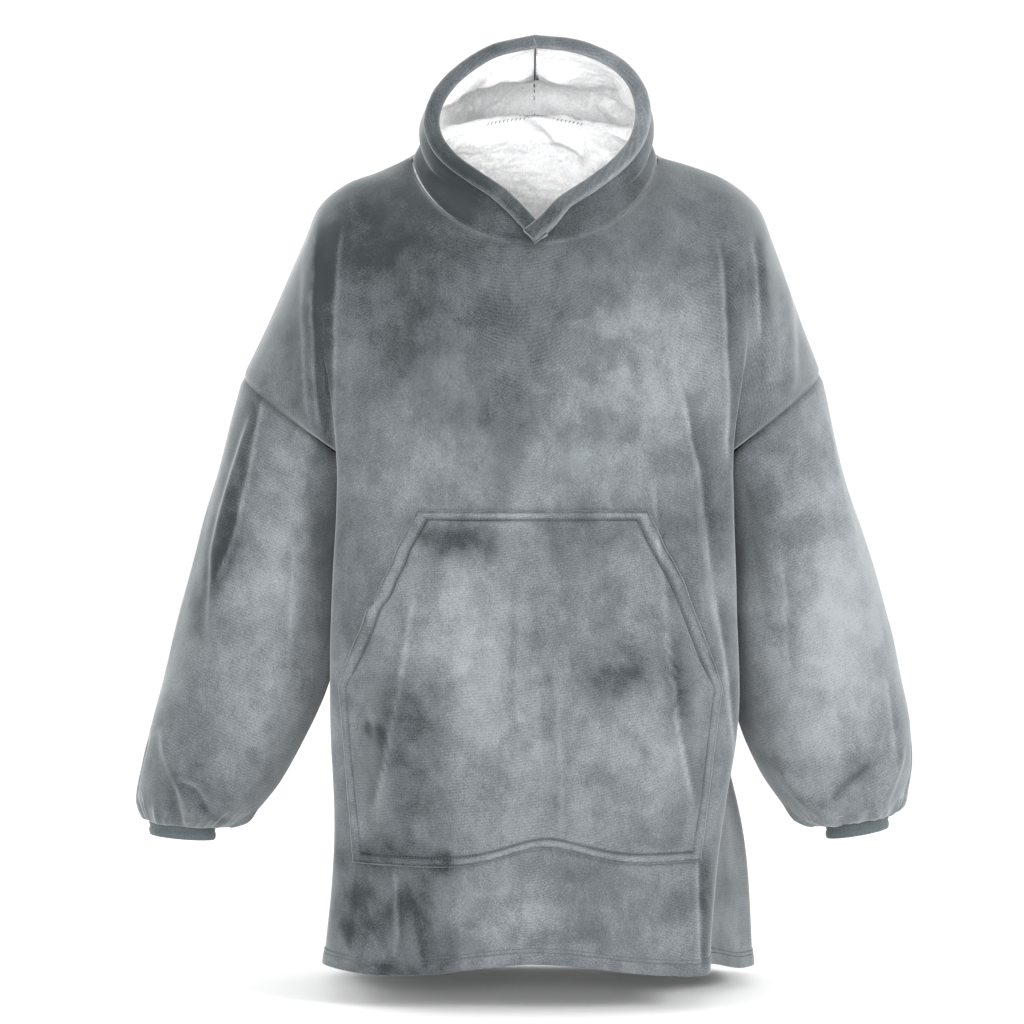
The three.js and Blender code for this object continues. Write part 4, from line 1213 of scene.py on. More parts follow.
    def half(self, face: Face, side: Side) -> Array:
        """Points of half a panel, from the middle to the side."""
        share = self.shares()
        foot = self.ring(face, side, self.armpit_z).along(share)
        upper = self.yoke(face, side, share, foot, self.yoke_steps())
        levels = np.linspace(self.armpit_z, self.hem_z, 90)
        sections = np.stack([self.ring(face, side, float(z)).along(share) for z in levels])
        long_part = np.linspace(0, 0.95, self.skirt_rows + 1)[1:]
        steps = np.concatenate([long_part, np.linspace(0.95, 1, self.hem_rows + 1)[1:]])
        z = lerp(self.armpit_z, self.hem_level(face, side, share)[:, None], steps[None, :])
        lower = np.stack(
            [
                np.stack([np.interp(-z[i], -levels, sections[:, i, k]) for i in range(len(share))])
                for k in range(2)
            ]
            + [z],
            axis=-1,
        )
        return self.eased(np.concatenate([upper, lower], axis=1))

    def folded(self, points: Array, face: Face) -> Array:
        """Moves points of a panel outward where a large fold passes."""
        turned = smoothstep(points[..., 1] * face.value, 6, 45)
        rise = np.zeros(points.shape[:2])
        for fold in self.folds[face]:
            down = (points[..., 2] - fold.z0) / (fold.z1 - fold.z0)
            across = points[..., 0] - lerp(fold.x0, fold.x1, np.clip(down, 0, 1))
            width = np.where(across > 0, fold.to_right, fold.to_left)
            ends = smoothstep(down, -0.1, 0.25) * (1 - smoothstep(down, 0.85, 1.2))
            rise += fold.depth * ends * bell(across, width)
        moved = points.copy()
        moved[..., 1] += face.value * rise * turned
        return moved

    def panel(self, face: Face) -> Cloth:
        """The panel with its large folds, columns from the wearer's right to the left."""
        right, left = self.half(face, Side.RIGHT)[::-1], self.half(face, Side.LEFT)[1:]
        return Cloth(self.folded(np.concatenate([right, left]), face), flip=face is Face.FRONT)

    def nap(self, points: Array, facing: Array) -> Array:
        """Lightness of the nap anywhere on the garment, with painted highlights and shade along the fold
        edges, and painted light on the left sleeve.

        Args:
            points: Places on the cloth.
            facing: The outward normals' Y values there.

        Returns:
            Values about 0.5.
        """
        wobble, ragged = Noise(5, 34, 4), Noise(9, 13, 3)
        shift = np.array([400.0, 0.0, 0.0])
        x = points[..., 0] + self.stroke_wobble[0] * wobble.at(points)
        z = points[..., 2] + self.stroke_wobble[1] * wobble.at(points + shift)
        drawn = sum(stroke.value(x, z) for stroke in self.strokes)
        drawn = drawn * (1 + self.raggedness * ragged.at(points))
        drawn = drawn + sum(tone.value(x, z) for tone in self.tones)
        x = points[..., 0] + self.line_wobble * wobble.at(points)
        drawn = drawn + sum(line.value(x, points[..., 2]) for line in self.lines)
        crushed = Noise(13, 40, 4, (1.2, 1.2, 0.9)).at(points)
        flattened, lifted = smoothstep(crushed, 0.14, 0.3), smoothstep(-crushed, 0.14, 0.34)
        drawn = drawn - 0.1 * flattened + 0.07 * lifted
        hidden = 0.3 * Noise(11, 95, 4, (1, 1, 1.4)).at(points) - 0.2 * smoothstep(points[..., 2], -330, -60)
        hidden = hidden - 0.16 * flattened + 0.08 * lifted
        ahead = smoothstep(-facing, -0.1, 0.35)
        return 0.5 + drawn * ahead + hidden * (1 - ahead)

    def crumpled(self, cloth: Cloth, face: Face) -> Array:
        """Lift of the smaller creases, the hem and the seams, in millimetres."""
        p = cloth.points
        away = smoothstep(np.abs(p[..., 1]), 8, 50)
        rise = sum(c.rise(p[..., 0], p[..., 2]) for c in self.creases[face]) * away
        rise = rise + 1.5 * Noise(3, 70, 3, (1, 1, 1.8)).at(p) * away
        edge, to_top = cloth.from_sides(), cloth.down()
        to_hem = to_top[:, -1:] - to_top
        soft = smoothstep(edge, 0, 30) * smoothstep(to_top, 0, 26)
        rise = rise * (0.15 + 0.85 * soft)
        armhole = p[..., 2] > self.armpit_z - 30
        rise = rise - self.armhole_dip * bell(edge, SEAM_DIP) * armhole
        rise = rise - self.side_seam_dip * bell(edge, 3.5) * ~armhole
        rise = rise - self.top_seam_dip * bell(to_top, SEAM_DIP)
        turned = smoothstep(to_hem, self.hem_turned + 2.5, self.hem_turned - 1.0)
        to_stitch = to_hem - self.hem_turned
        pucker = Noise(23, 15, 2).at(p) * bell(to_stitch, 9)
        groove = bell(to_stitch, 1.7) + bell(to_stitch + self.hem_row_gap, 1.5)
        return rise + self.hem_raised * turned - self.hem_groove * groove + self.hem_pucker * pucker

    def build(self) -> dict:
        """Makes both panels.

        Returns:
            Each panel's finished outer face, by its Face.
        """
        made = {}
        for face, name in ((Face.FRONT, "front_panel"), (Face.BACK, "back_panel")):
            base = self.panel(face)
            outer = base.raised(self.crumpled(base, face))
            inner = outer.inner_face(base)
            nap = self.nap(outer.points, outer.normals()[..., 1])
            down = outer.down()
            neck = (np.abs(outer.points[..., 0]) < self.neck_half_width) & (outer.points[..., 2] > -130)
            # painted highlight: a thin pale line along the neck seam's edge
            nap = nap + self.seam_painted_highlight * bell(down, 1.4) * neck
            # painted shade along the side and armhole seams
            nap = nap - self.seam_painted_shade * bell(outer.from_sides(), 4)
            piece = cloth_wall(f"{name}_cloth", outer, inner, self.finishes.fleece, nap)
            dress(piece, name, base)
            made[face] = outer
            runs = []
            for height in (self.hem_turned, self.hem_turned - self.hem_row_gap):
                place, out = outer.traced(down, down[:, -1] - height, 1)
                runs.append((place[2:-2], out[2:-2]))
            hem = Stitching(self.finishes.grey_thread).run(f"{name}_hem_stitches", runs)
            ride_on(hem)
        return made


def dress(
    piece: bpy.types.Object, node: str, cut: Cloth
) -> None:
    """Puts a sheet of cloth on the garment's body, in its node's place, and states its cut.

    Args:
        piece: The sheet.
        node: The node that it stands for.
        cut: The smooth cloth that its flat size is measured on.
    """
    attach(piece, "root")
    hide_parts(node)
    (wide, long), area = cut.flat_cut()
    area = max(area, 0.3 * wide * long)
    faces = len(piece.data.polygons)
    log.info("%s: cut %.0f x %.0f mm, %.3f m2, %d faces", piece.name, wide / MM, long / MM, area, faces)


def ride_on(piece: bpy.types.Object) -> None:
    """Puts a small piece, such as stitches, on the garment's body."""
    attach(piece, "root")
    log.info("%s: %d faces", piece.name, len(piece.data.polygons))


class Section(NamedTuple):
    """An oval section of a sleeve, its outer side tilted up."""

    out: float
    y: float
    z: float
    wide: float
    deep: float
    tilt: float


def oval_point(side: Side, section: Section, angle: Array, grow: Array) -> Array:
    """Points of an oval section."""
    tilt = math.radians(section.tilt)
    across = section.wide * grow * np.cos(angle)
    return np.stack(
        [
            side.value * (section.out + across * math.cos(tilt)),
            section.y - section.deep * grow * np.sin(angle),
            section.z + across * math.sin(tilt),
        ],
        axis=-1,
    )


@dataclass
class Sleeve:
    """A blouson sleeve from the armhole to the cuff, and the cuff itself."""

    side: Side
    finishes: Finishes
    body: Body
    sections: tuple
    cuff: Section
    creases: tuple
    rows: int = 118
    turn_rows: int = 12
    gathers: int = 6
    gather_depth: float = 0.14
    fine_depth: float = 1.9
    fine_gathers: tuple = ((13, 1.0, 0.8), (21, 0.7, 2.1), (31, 0.5, 4.0))  # count, strength and phase
    seam_dip: float = 2.4
    cuff_shown: float = 14.0
    cuff_length: float = 30.0
    cuff_waist: float = 0.86
    radius: float = 86.0

    @property
    def word(self) -> str:
        """The side's name."""
        return self.side.name.lower()

    def grid(self, panels: dict) -> tuple[Cloth, Array, Array]:
        """The sleeve's points.

        Args:
            panels: The two smooth panels, whose side edges are the armhole.

        Returns:
            The cloth, each column's angle, and each row's share along.
        """
        rows = self.body.yoke_rows + 1
        pick = 0 if self.side is Side.RIGHT else -1
        front, back = panels[Face.FRONT].points[pick, :rows], panels[Face.BACK].points[pick, :rows]
        ring = np.concatenate([front, back[1:-1][::-1]])
        steps = self.body.yoke_steps()
        angle = np.concatenate([math.pi * steps, 2 * math.pi - math.pi * steps[1:-1][::-1]])
        keys = np.stack([oval_point(self.side, s, angle, 1.0) for s in self.sections], axis=1)
        gather = self.gather_depth / 2 * (1 + np.cos(self.gathers * angle + 0.6))
        end = self.sections[-1]
        axis = np.array([self.side.value * end.out, end.y, end.z])
        along = graded(0, 1, self.rows, 0.9)
        path = np.stack([Spline(np.vstack([start, key])).point(along) for start, key in zip(ring, keys)])
        swell = gather[:, None] * smoothstep(along, 0.72, 1)[None, :] * 0.7
        away = (path - axis) * np.array([1.0, 1.0, 0.0])
        path = path + away * swell[..., None]
        cuff = self.cuff
        turn = cuff._replace(
            out=(end.out + cuff.out) / 2, z=cuff.z + self.cuff_shown, wide=cuff.wide + 7, deep=cuff.deep + 9
        )
        turned = oval_point(self.side, turn, angle, 1 + gather)
        cuff_top = cuff._replace(z=cuff.z + self.cuff_length)
        seam = oval_point(self.side, cuff_top, angle, self.cuff_waist + 0.02)
        last = path[:, -1]
        inward = path[:, -1] - path[:, -3]
        tail = []
        for k in range(1, self.turn_rows + 1):
            t = k / self.turn_rows
            bulge = lerp(last + unit(inward) * 9.0, turned, 0.45)
            tail.append((1 - t) ** 2 * last + 2 * (1 - t) * t * bulge + t**2 * turned)
        for k in range(1, 4):
            tail.append(lerp(turned, seam, k / 3))
        points = np.concatenate([path, np.stack(tail, axis=1)], axis=1)
        share = np.concatenate([along, np.full(len(tail), 1.0)])
        return Cloth(points, wraps=True, flip=self.side is Side.RIGHT), angle, share

    def crumpled(self, cloth: Cloth, angle: Array, share: Array) -> Array:
        """Lift of the creases, the armhole seam and the finer gathers, in millimetres."""
        down = cloth.down()
        around = np.where(angle > math.pi, angle - 2 * math.pi, angle)[:, None] * self.radius + 0 * down
        rise = sum(c.rise(around, down) for c in self.creases)
        rise = rise + 1.7 * Noise(7 + self.side.value, 62, 3, (1, 1, 1.6)).at(cloth.points)
        rise = rise * smoothstep(down, 0, 40)
        fine = sum(strength * np.sin(count * angle + phase) for count, strength, phase in self.fine_gathers)
        near_cuff = smoothstep(share, 0.8, 1.0)[None, :] ** 1.5
        depth = self.fine_depth * (0.75 + 0.5 * Noise(19, 30, 2).at(cloth.points))
        rise = rise + fine[:, None] * near_cuff * depth
        count = self.rows + 1
        fade = np.ones(cloth.points.shape[1])
        fade[count:] = np.linspace(1, 0.0, len(fade) - count)
        return rise * fade[None, :] - self.seam_dip * bell(down, SEAM_DIP)

    def build(self, panels: dict) -> None:
        """Makes the sleeve and its cuff."""
        base, angle, share = self.grid(panels)
        outer = base.raised(self.crumpled(base, angle, share))
        inner = outer.inner_face(base)
        nap = self.body.nap(outer.points, outer.normals()[..., 1])
        # painted shade along the armhole seam
        nap = nap - 0.2 * bell(outer.down(), 4)
        piece = cloth_wall(f"sleeve_{self.word}_cloth", outer, inner, self.finishes.fleece, nap)
        dress(piece, f"sleeve_{self.word}", base)
        self.build_cuff()

    def build_cuff(self) -> None:
        """Makes the cuff: a short knitted tube with a turned lower edge."""
        around, rows = 120, 26
        angle = 2 * math.pi * np.arange(around) / around
        up = np.linspace(self.cuff_length, 0, rows)
        grow = np.interp(-up, [-self.cuff_length, -self.cuff_shown - 2, 0], [self.cuff_waist, 1.0, 0.985])
        levels = [self.cuff._replace(z=self.cuff.z + h) for h in up]
        rings = [oval_point(self.side, level, angle, g) for level, g in zip(levels, grow)]
        base = Cloth(np.stack(rings, axis=1), wraps=True, flip=self.side is Side.RIGHT)
        pucker = 0.7 * Noise(29, 9, 2, (1, 1, 3)).at(base.points) + 0.3 * np.cos(46 * angle)[:, None]
        lip = 0.6 * bell(up - 3.5, 2.5)[None, :] - 0.6 * bell(up - 8, 1.4)[None, :]
        outer = base.raised(pucker + lip)
        inner = outer.inner_face(base)
        piece = cloth_wall(f"cuff_{self.word}_knit", outer, inner, self.finishes.knit, edge=Edge.ROUNDED)
        dress(piece, f"cuff_{self.word}", base)


class RimPoint(NamedTuple):
    """A point of the hood's edge in the leaning plane of the face opening."""

    out: float
    up: float


class SeamPoint(NamedTuple):
    """A point of the hood's centre seam."""

    y: float
    z: float


@dataclass
class Hood:
    """The two-piece hood, its pile lining, the turned edge and the lining of the upper back."""

    finishes: Finishes
    body: Body
    lean: float = 32.6
    columns: int = 96
    rows: int = 60
    lining_columns: int = 150
    lining_rows: int = 110
    half_widths: tuple[float, float] = (123.0, 106.0)
    stand_in: float = 8.0
    stand_forward: float = 8.0
    stand_up: float = 10.0
    stand_soon: float = 0.65
    swell: tuple[float, float, float] = (42.0, 0.46, 0.26)
    seam_dip: float = 2.0
    centre_dip: float = 1.8
    darker: float = 0.1
    tufts: tuple = ((1.9, Noise(41, 8.5, 1)), (1.1, Noise(43, 4.6, 1)))
    unevenness: tuple = (1.4, Noise(47, 26, 2))
    crease_height: float = 1.4
    band_width: float = 17.0
    band_thick: float = 7.0
    band_crosses: float = 0.09
    rims: dict = field(
        default_factory=lambda: {
            Side.RIGHT: (
                RimPoint(0, 0), RimPoint(20, 29), RimPoint(45, 58), RimPoint(72, 80), RimPoint(98, 104),
                RimPoint(113, 129), RimPoint(118, 156), RimPoint(110, 190), RimPoint(91, 220),
                RimPoint(50, 254), RimPoint(0, 269),
            ),
            Side.LEFT: (
                RimPoint(0, 0), RimPoint(20, 21), RimPoint(39, 48), RimPoint(64, 68), RimPoint(90, 92),
                RimPoint(112, 122), RimPoint(122, 158), RimPoint(117, 200), RimPoint(95, 235),
                RimPoint(50, 261), RimPoint(0, 269),
            ),
        }
    )
    crown_creases: tuple = (
        # the lip of the fold across the crown
        Crease((-92, 438), (-20, 478), 7, 14, 4, -6), Crease((-40, 476), (66, 478), 7, 14, 4, -1),
        Crease((46, 479), (142, 436), 7, 14, 4, -5), Crease((84, 462), (126, 438), -3, 9, 8),
        Crease((96, 448), (122, 424), 5, 8, 7), Crease((-70, 448), (-30, 440), 3, 8, 10, 4),
        Crease((-96, 424), (-40, 436), 3, 8, 10, -4), Crease((40, 452), (66, 424), 3, 9, 9, 4),
    )
    back_creases: tuple = (
        # the crescent fold below the nape seam
        Crease((14, 428), (50, 402), 8, 12, 4, -4), Crease((44, 404), (82, 384), 8, 13, 4, -5),
        Crease((80, 390), (64, 332), 6, 14, 5, -7), Crease((-90, 392), (-10, 404), 4, 10, 14, -4),
        Crease((-70, 372), (-20, 330), 3, 16, 12, 6), Crease((20, 380), (40, 330), 3, 12, 12),
        Crease((96, 384), (118, 372), 4, 8, 9), Crease((-30, 412), (20, 396), 3, 8, 10),
    )
    crown: SeamPoint = SeamPoint(176, 116)
    crown_line: tuple = (SeamPoint(47, 121), SeamPoint(80, 98), SeamPoint(120, 110))
    nape_line: tuple = (
        SeamPoint(127, 26), SeamPoint(165, 0), SeamPoint(205, 6), SeamPoint(226, 44), SeamPoint(217, 88),
    )

    def __post_init__(self) -> None:
        """Sets the axes of the face opening."""
        lean = math.radians(self.lean)
        self.foot = np.array([0.0, -self.body.neck_front, -self.body.neck_drop])
        self.up = np.array([0.0, math.sin(lean), math.cos(lean)])
        self.forward = np.array([0.0, -math.cos(lean), math.sin(lean)])

    def rim(self, side: Side) -> Spline:
        """The hood's edge on one side, from the throat to the top."""
        aside = np.array([float(side.value), 0.0, 0.0])
        return Spline([self.foot + aside * p.out + self.up * p.up for p in self.rims[side]])

    def half(self, side: Side, columns: int, rows: int) -> tuple[Cloth, Array, Array]:
        """Half of the hood between its edge, the neck seam and the centre seam.

        Args:
            side: Which half.
            columns: Steps from the throat round to the nape.
            rows: Steps from the neck seam up to the centre seam.

        Returns:
            The cloth, with each point's share round the neck and up.
        """
        a1, b1 = np.linspace(0, 1, columns + 1), np.linspace(0, 1, rows + 1)
        rim = self.rim(side)
        crown = (0.0, self.crown.y, self.crown.z)
        top = Spline([rim.along(1.0), *((0.0, p.y, p.z) for p in self.crown_line), crown])
        crown = top.along(1.0)
        turn = math.pi * a1
        ahead = self.body.neck_point(Face.FRONT, side, np.minimum(turn, math.pi / 2))
        behind = self.body.neck_point(Face.BACK, side, np.minimum(math.pi - turn, math.pi / 2))
        neck = np.where((a1 <= 0.5)[:, None], ahead, behind)
        back = Spline([neck[-1], *((0.0, p.y, p.z) for p in self.nape_line), crown])
        a, b = a1[:, None, None], b1[None, :, None]
        p = neck[:, None] * (1 - b) + top.along(a1)[:, None] * b
        p = p + rim.along(b1)[None] * (1 - a) + back.along(b1)[None] * a
        p = p - neck[0] * (1 - a) * (1 - b) - neck[-1] * a * (1 - b)
        p = p - rim.along(1.0) * (1 - a) * b - crown * a * b
        a, b = a[..., 0] + 0 * b[..., 0], b[..., 0] + 0 * a[..., 0]
        stand = np.sin(math.pi * a) * np.sin(math.pi * b**self.stand_soon)
        high, height, spread = self.swell
        lift = high * np.sin(math.pi * a) ** 2 * bell(b - height, spread) * smoothstep(b, 0, 0.1)
        p[..., 1] -= self.stand_forward * stand
        p[..., 2] += self.stand_up * stand + lift
        out = side.value * p[..., 0] - self.stand_in * stand
        full = smoothstep(a, 0.05, 0.5) * smoothstep(b, 0, 0.45)
        half = lerp(*self.half_widths, smoothstep(b, 0.3, 0.7))
        narrow = 1 - np.minimum(out / half, 1)
        p[..., 0] = side.value * lerp(out, half * (1 - narrow**2), full)
        return Cloth(p, flip=side is Side.RIGHT), a, b

    def shell(self, side: Side) -> None:
        """Makes one outer half."""
        base, a, b = self.half(side, self.columns, self.rows)
        down = base.down()
        edges = smoothstep(a, 0, 0.12) * smoothstep(1 - a, 0, 0.06)
        edges = edges * smoothstep(b, 0, 0.1) * smoothstep(1 - b, 0, 0.06)
        rise = 2.2 * Noise(31 + side.value, 48, 3).at(base.points) * edges
        centre_dip = self.centre_dip * bell(down[:, -1:] - down, SEAM_DIP) * smoothstep(a, 0, 0.08)
        rise = rise - self.seam_dip * bell(down, SEAM_DIP) - centre_dip
        outer = base.raised(rise)
        inner = outer.inner_face(base)
        nap = self.body.nap(outer.points, outer.normals()[..., 1]) - self.darker
        # painted highlight along the neck seam's edge
        nap = nap + self.body.seam_painted_highlight * bell(down, 1.2)
        word = side.name.lower()
        piece = cloth_wall(f"hood_{word}_cloth", outer, inner, self.finishes.fleece, nap)
        dress(piece, f"hood_{word}", base)

    def piled(
        self, cloth: Cloth, fade: Array, depth: float, creases: Sequence[Crease]
    ) -> tuple[Cloth, Cloth]:
        """Gives the inner side of a cloth a pile of rounded clumps.

        Args:
            cloth: The smooth outer face of the shell that the lining lies in.
            fade: Height of the pile at each point, from 0 to 1.
            depth: How far inside the shell's outer face it lies, away from the neck seam.
            creases: Creases, drawn flat as the camera sees the hood.

        Returns:
            The lining's hidden face, and its pile face.
        """
        seam_out = unit(cloth.points[:, :1] * np.array([1.0, 1.0, 0.0]))
        by_seam = bell(cloth.down(), 9.0)[..., None]
        n = unit(lerp(cloth.calm_normals(16), seam_out, by_seam))
        hidden = cloth.points - n * lerp(depth, LINING_DEPTH, by_seam)
        high = sum(height * noise.clumps(hidden) for height, noise in self.tufts)
        high = high + self.unevenness[0] * self.unevenness[1].at(hidden)
        seen = 1 + hidden[..., 1] / CAMERA_DISTANCE
        across = (hidden[..., 0] - CAMERA_TARGET[0]) / seen
        up = (hidden[..., 2] - CAMERA_TARGET[2] + CAMERA_SLOPE * hidden[..., 1]) / seen
        high = high + self.crease_height * sum(c.rise(across, up) for c in creases)
        soft = hidden - n * np.maximum(LINING_THICK + high * fade, 1.0)[..., None]
        return Cloth(hidden, flip=cloth.flip), Cloth(soft, flip=cloth.flip)

    def lining(self, side: Side) -> Cloth:
        """Makes the pile lining of one half, and gives its pile face."""
        base, a, b = self.half(side, self.lining_columns, self.lining_rows)
        trim = Cloth(base.points[2:, :], flip=base.flip)
        a, b = a[2:, :], b[2:, :]
        tight = smoothstep(a, 0.2, 0.34) * (1 - smoothstep(a, 0.56, 0.7)) * (1 - smoothstep(b, 0.22, 0.4))
        fade = (smoothstep(1 - b, 0, 0.03) * 0.8 + 0.2) * (1 - tight)
        hidden, soft = self.piled(trim, fade, HOOD_LINING_DEPTH, self.crown_creases)
        word = side.name.lower()
        piece = cloth_wall(f"hood_lining_{word}_pile", soft, hidden, self.finishes.pile)
        dress(piece, f"hood_lining_{word}", trim)
        return soft

    def back_lining(self, back: Cloth) -> None:
        """Makes the lining of the upper back that shows through the face opening."""
        columns, rows, steps = 150, 110, self.body.yoke_steps()
        middle = back.points.shape[0] // 2
        reach = self.body.neck_columns
        part = back.points[middle - reach : middle + reach + 1]
        t = np.linspace(0, 0.5, rows + 1)
        down = np.stack([[np.interp(t, steps, column[: len(steps), k]) for k in range(3)] for column in part])
        u = np.linspace(0, 2 * reach, columns + 1)
        at = np.arange(2 * reach + 1)
        grid = np.stack([[np.interp(u, at, down[:, k, j]) for k in range(3)] for j in range(rows + 1)])
        cloth = Cloth(np.transpose(grid, (2, 0, 1))[1:-1])
        hidden, soft = self.piled(cloth, np.ones(cloth.points.shape[:2]), LINING_DEPTH, self.back_creases)
        piece = cloth_wall("back_lining_pile", soft, hidden, self.finishes.pile)
        dress(piece, "back_lining", cloth)

    def band(self) -> None:
        """Makes the turned edge, whose left end crosses over the right at the throat."""
        w, t = self.band_width, self.band_thick
        outline = [
            (-1.5, 0.6), (-1.5, 4), (3, t), (w * 0.55, t), (w - 3.5, t - 1), (w - 1.5, 3.5), (w - 3, 0.6),
            (w * 0.45, 0.6),
        ]
        closed = Spline([(i, o, 0.0) for i, o in [*outline, outline[0]]])
        section = closed.along(np.arange(32) / 32)
        stations = np.linspace(-1, 1, 321)
        middle = self.foot + self.up * self.rims[Side.RIGHT][-1].up / 2
        rings = []
        for station in stations:
            side = Side.RIGHT if station < 0 else Side.LEFT
            rim = self.rim(side) if station in (stations[0], 0.0) else rim
            share = 1 - abs(station)
            p = rim.along(share)
            ahead = unit(rim.along(min(share + 0.002, 1)) - rim.along(max(share - 0.002, 0)))
            inward = unit(np.cross(ahead, self.forward))
            inward = -inward if float(inward @ (middle - p)) < 0 else inward
            over = float(side is Side.LEFT)
            lift = over * (t + 1) * (1 - smoothstep(share, self.band_crosses, 2 * self.band_crosses))
            start = p - ahead * over * 3 * (1 - smoothstep(share, 0, self.band_crosses)) + self.forward * lift
            rings.append(start + inward * section[:, :1] + self.forward * section[:, 1:2])
        points = np.transpose(np.stack(rings), (1, 0, 2))
        centre = points.mean(axis=0, keepdims=True)
        soft = 0.5 * Noise(53, 14, 3).at(points)[..., None] * unit(points - centre)
        points = points + soft
        self.close_band(points, section)

    def close_band(self, points: Array, section: Array) -> None:
        """Builds the band's mesh.

        Args:
            points: Its points, round the section first.
            section: The section, whose first column is the distance in from the hood's edge.
        """
        around, stations = points.shape[:2]
        ids = np.arange(around * stations).reshape(around, stations)
        beside = np.roll(ids, -1, axis=0)
        quads = np.stack([ids[:, :-1], ids[:, 1:], beside[:, 1:], beside[:, :-1]], axis=-1)
        quads = quads.reshape(-1, 4).tolist()
        caps = [ids[:, 0].tolist(), ids[::-1, -1].tolist()]
        mesh = bpy.data.meshes.new("hood_band_cloth")
        mesh.from_pydata((points.reshape(-1, 3) * MM).tolist(), [], quads + caps)
        mesh.polygons.foreach_set("use_smooth", np.ones(len(mesh.polygons), bool))
        mesh.materials.append(self.finishes.fleece)
        cloth = Cloth(points, wraps=True)
        v = cloth.down().ravel() * MM
        u = (np.arange(around)[:, None] * 1.4 + np.zeros((1, stations))).ravel() * MM
        flat = np.stack([v, u], axis=-1)
        corners = np.array([c.vertex_index for c in mesh.loops])
        mesh.uv_layers.new(name="cloth").uv.foreach_set("vector", flat[corners].ravel())
        edge = np.minimum(section[:, 0] + 1.5, self.band_width - 1.5 - section[:, 0])
        nap = self.body.nap(points, np.full(points.shape[:2], -1.0))
        nap = nap - 0.08 + 0.24 * smoothstep(points[..., 0], -30, 100)
        # painted highlight along both edges of the band
        nap = nap + 0.3 * bell(edge, 1.8)[:, None]
        mesh.attributes.new("nap", "FLOAT", "POINT").data.foreach_set("value", nap.ravel())
        piece = placed("hood_band_cloth", mesh)
        face_outward(piece)
        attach(piece, "root")
        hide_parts("hood_band")
        (girth, long), _ = cloth.flat_cut()
        flat = (round(girth / 2, 4), round(long, 4))
        log.info("hood_band_cloth: %d faces", len(mesh.polygons))

    def seams(self, soft: Cloth) -> None:
        """Sews the centre seam inside the hood and the seam across the nape.

        Args:
            soft: The pile face of the left half of the lining.
        """
        flat = np.array([0.0, 1.0, 1.0])
        n = soft.calm_normals(6)
        outward = np.concatenate([n[1:-1, -1], n[-1, -2:3:-1]]) * flat
        pile = np.concatenate([soft.points[1:-1, -1], soft.points[-1, -2:3:-1]]) * flat - unit(outward) * 0.8
        thread, inward = self.finishes.dark_thread, -unit(outward)
        chain = Stitching(thread, pitch=2.2, length=2.8, thick=0.9)
        centre = chain.run("hood_centre_stitches", [(pile, inward)])
        ride_on(centre)
        beside = pile + np.array([3.0, 0.0, 0.0])
        overlock = Stitching(thread, pitch=4.2, length=3.4, thick=0.4)
        cross = overlock.run("hood_centre_overlock", [(beside, inward)], 80.0)
        ride_on(cross)
        neck = []
        for side in (Side.RIGHT, Side.LEFT):
            angle = np.linspace(0.0, 0.45, 40)
            seam = self.body.neck_point(Face.BACK, side, angle)
            inner = unit(np.array([0.0, 0.0, 0.0]) - seam * np.array([1.0, 1.0, 0.0]))
            neck.append((seam + inner * 10.6, inner))
        overlock = Stitching(thread, pitch=4.6, length=3.4, thick=0.45)
        nape = overlock.run("nape_overlock", neck, 62.0)
        ride_on(nape)

    def build(self, panels: dict) -> None:
        """Makes every piece of the hood."""
        for side in (Side.RIGHT, Side.LEFT):
            self.shell(side)
            soft = self.lining(side)
        self.back_lining(panels[Face.BACK])
        self.band()
        self.seams(soft)


class PocketLevel(NamedTuple):
    """Half widths of the pocket at one level."""

    z: float
    right: float
    left: float


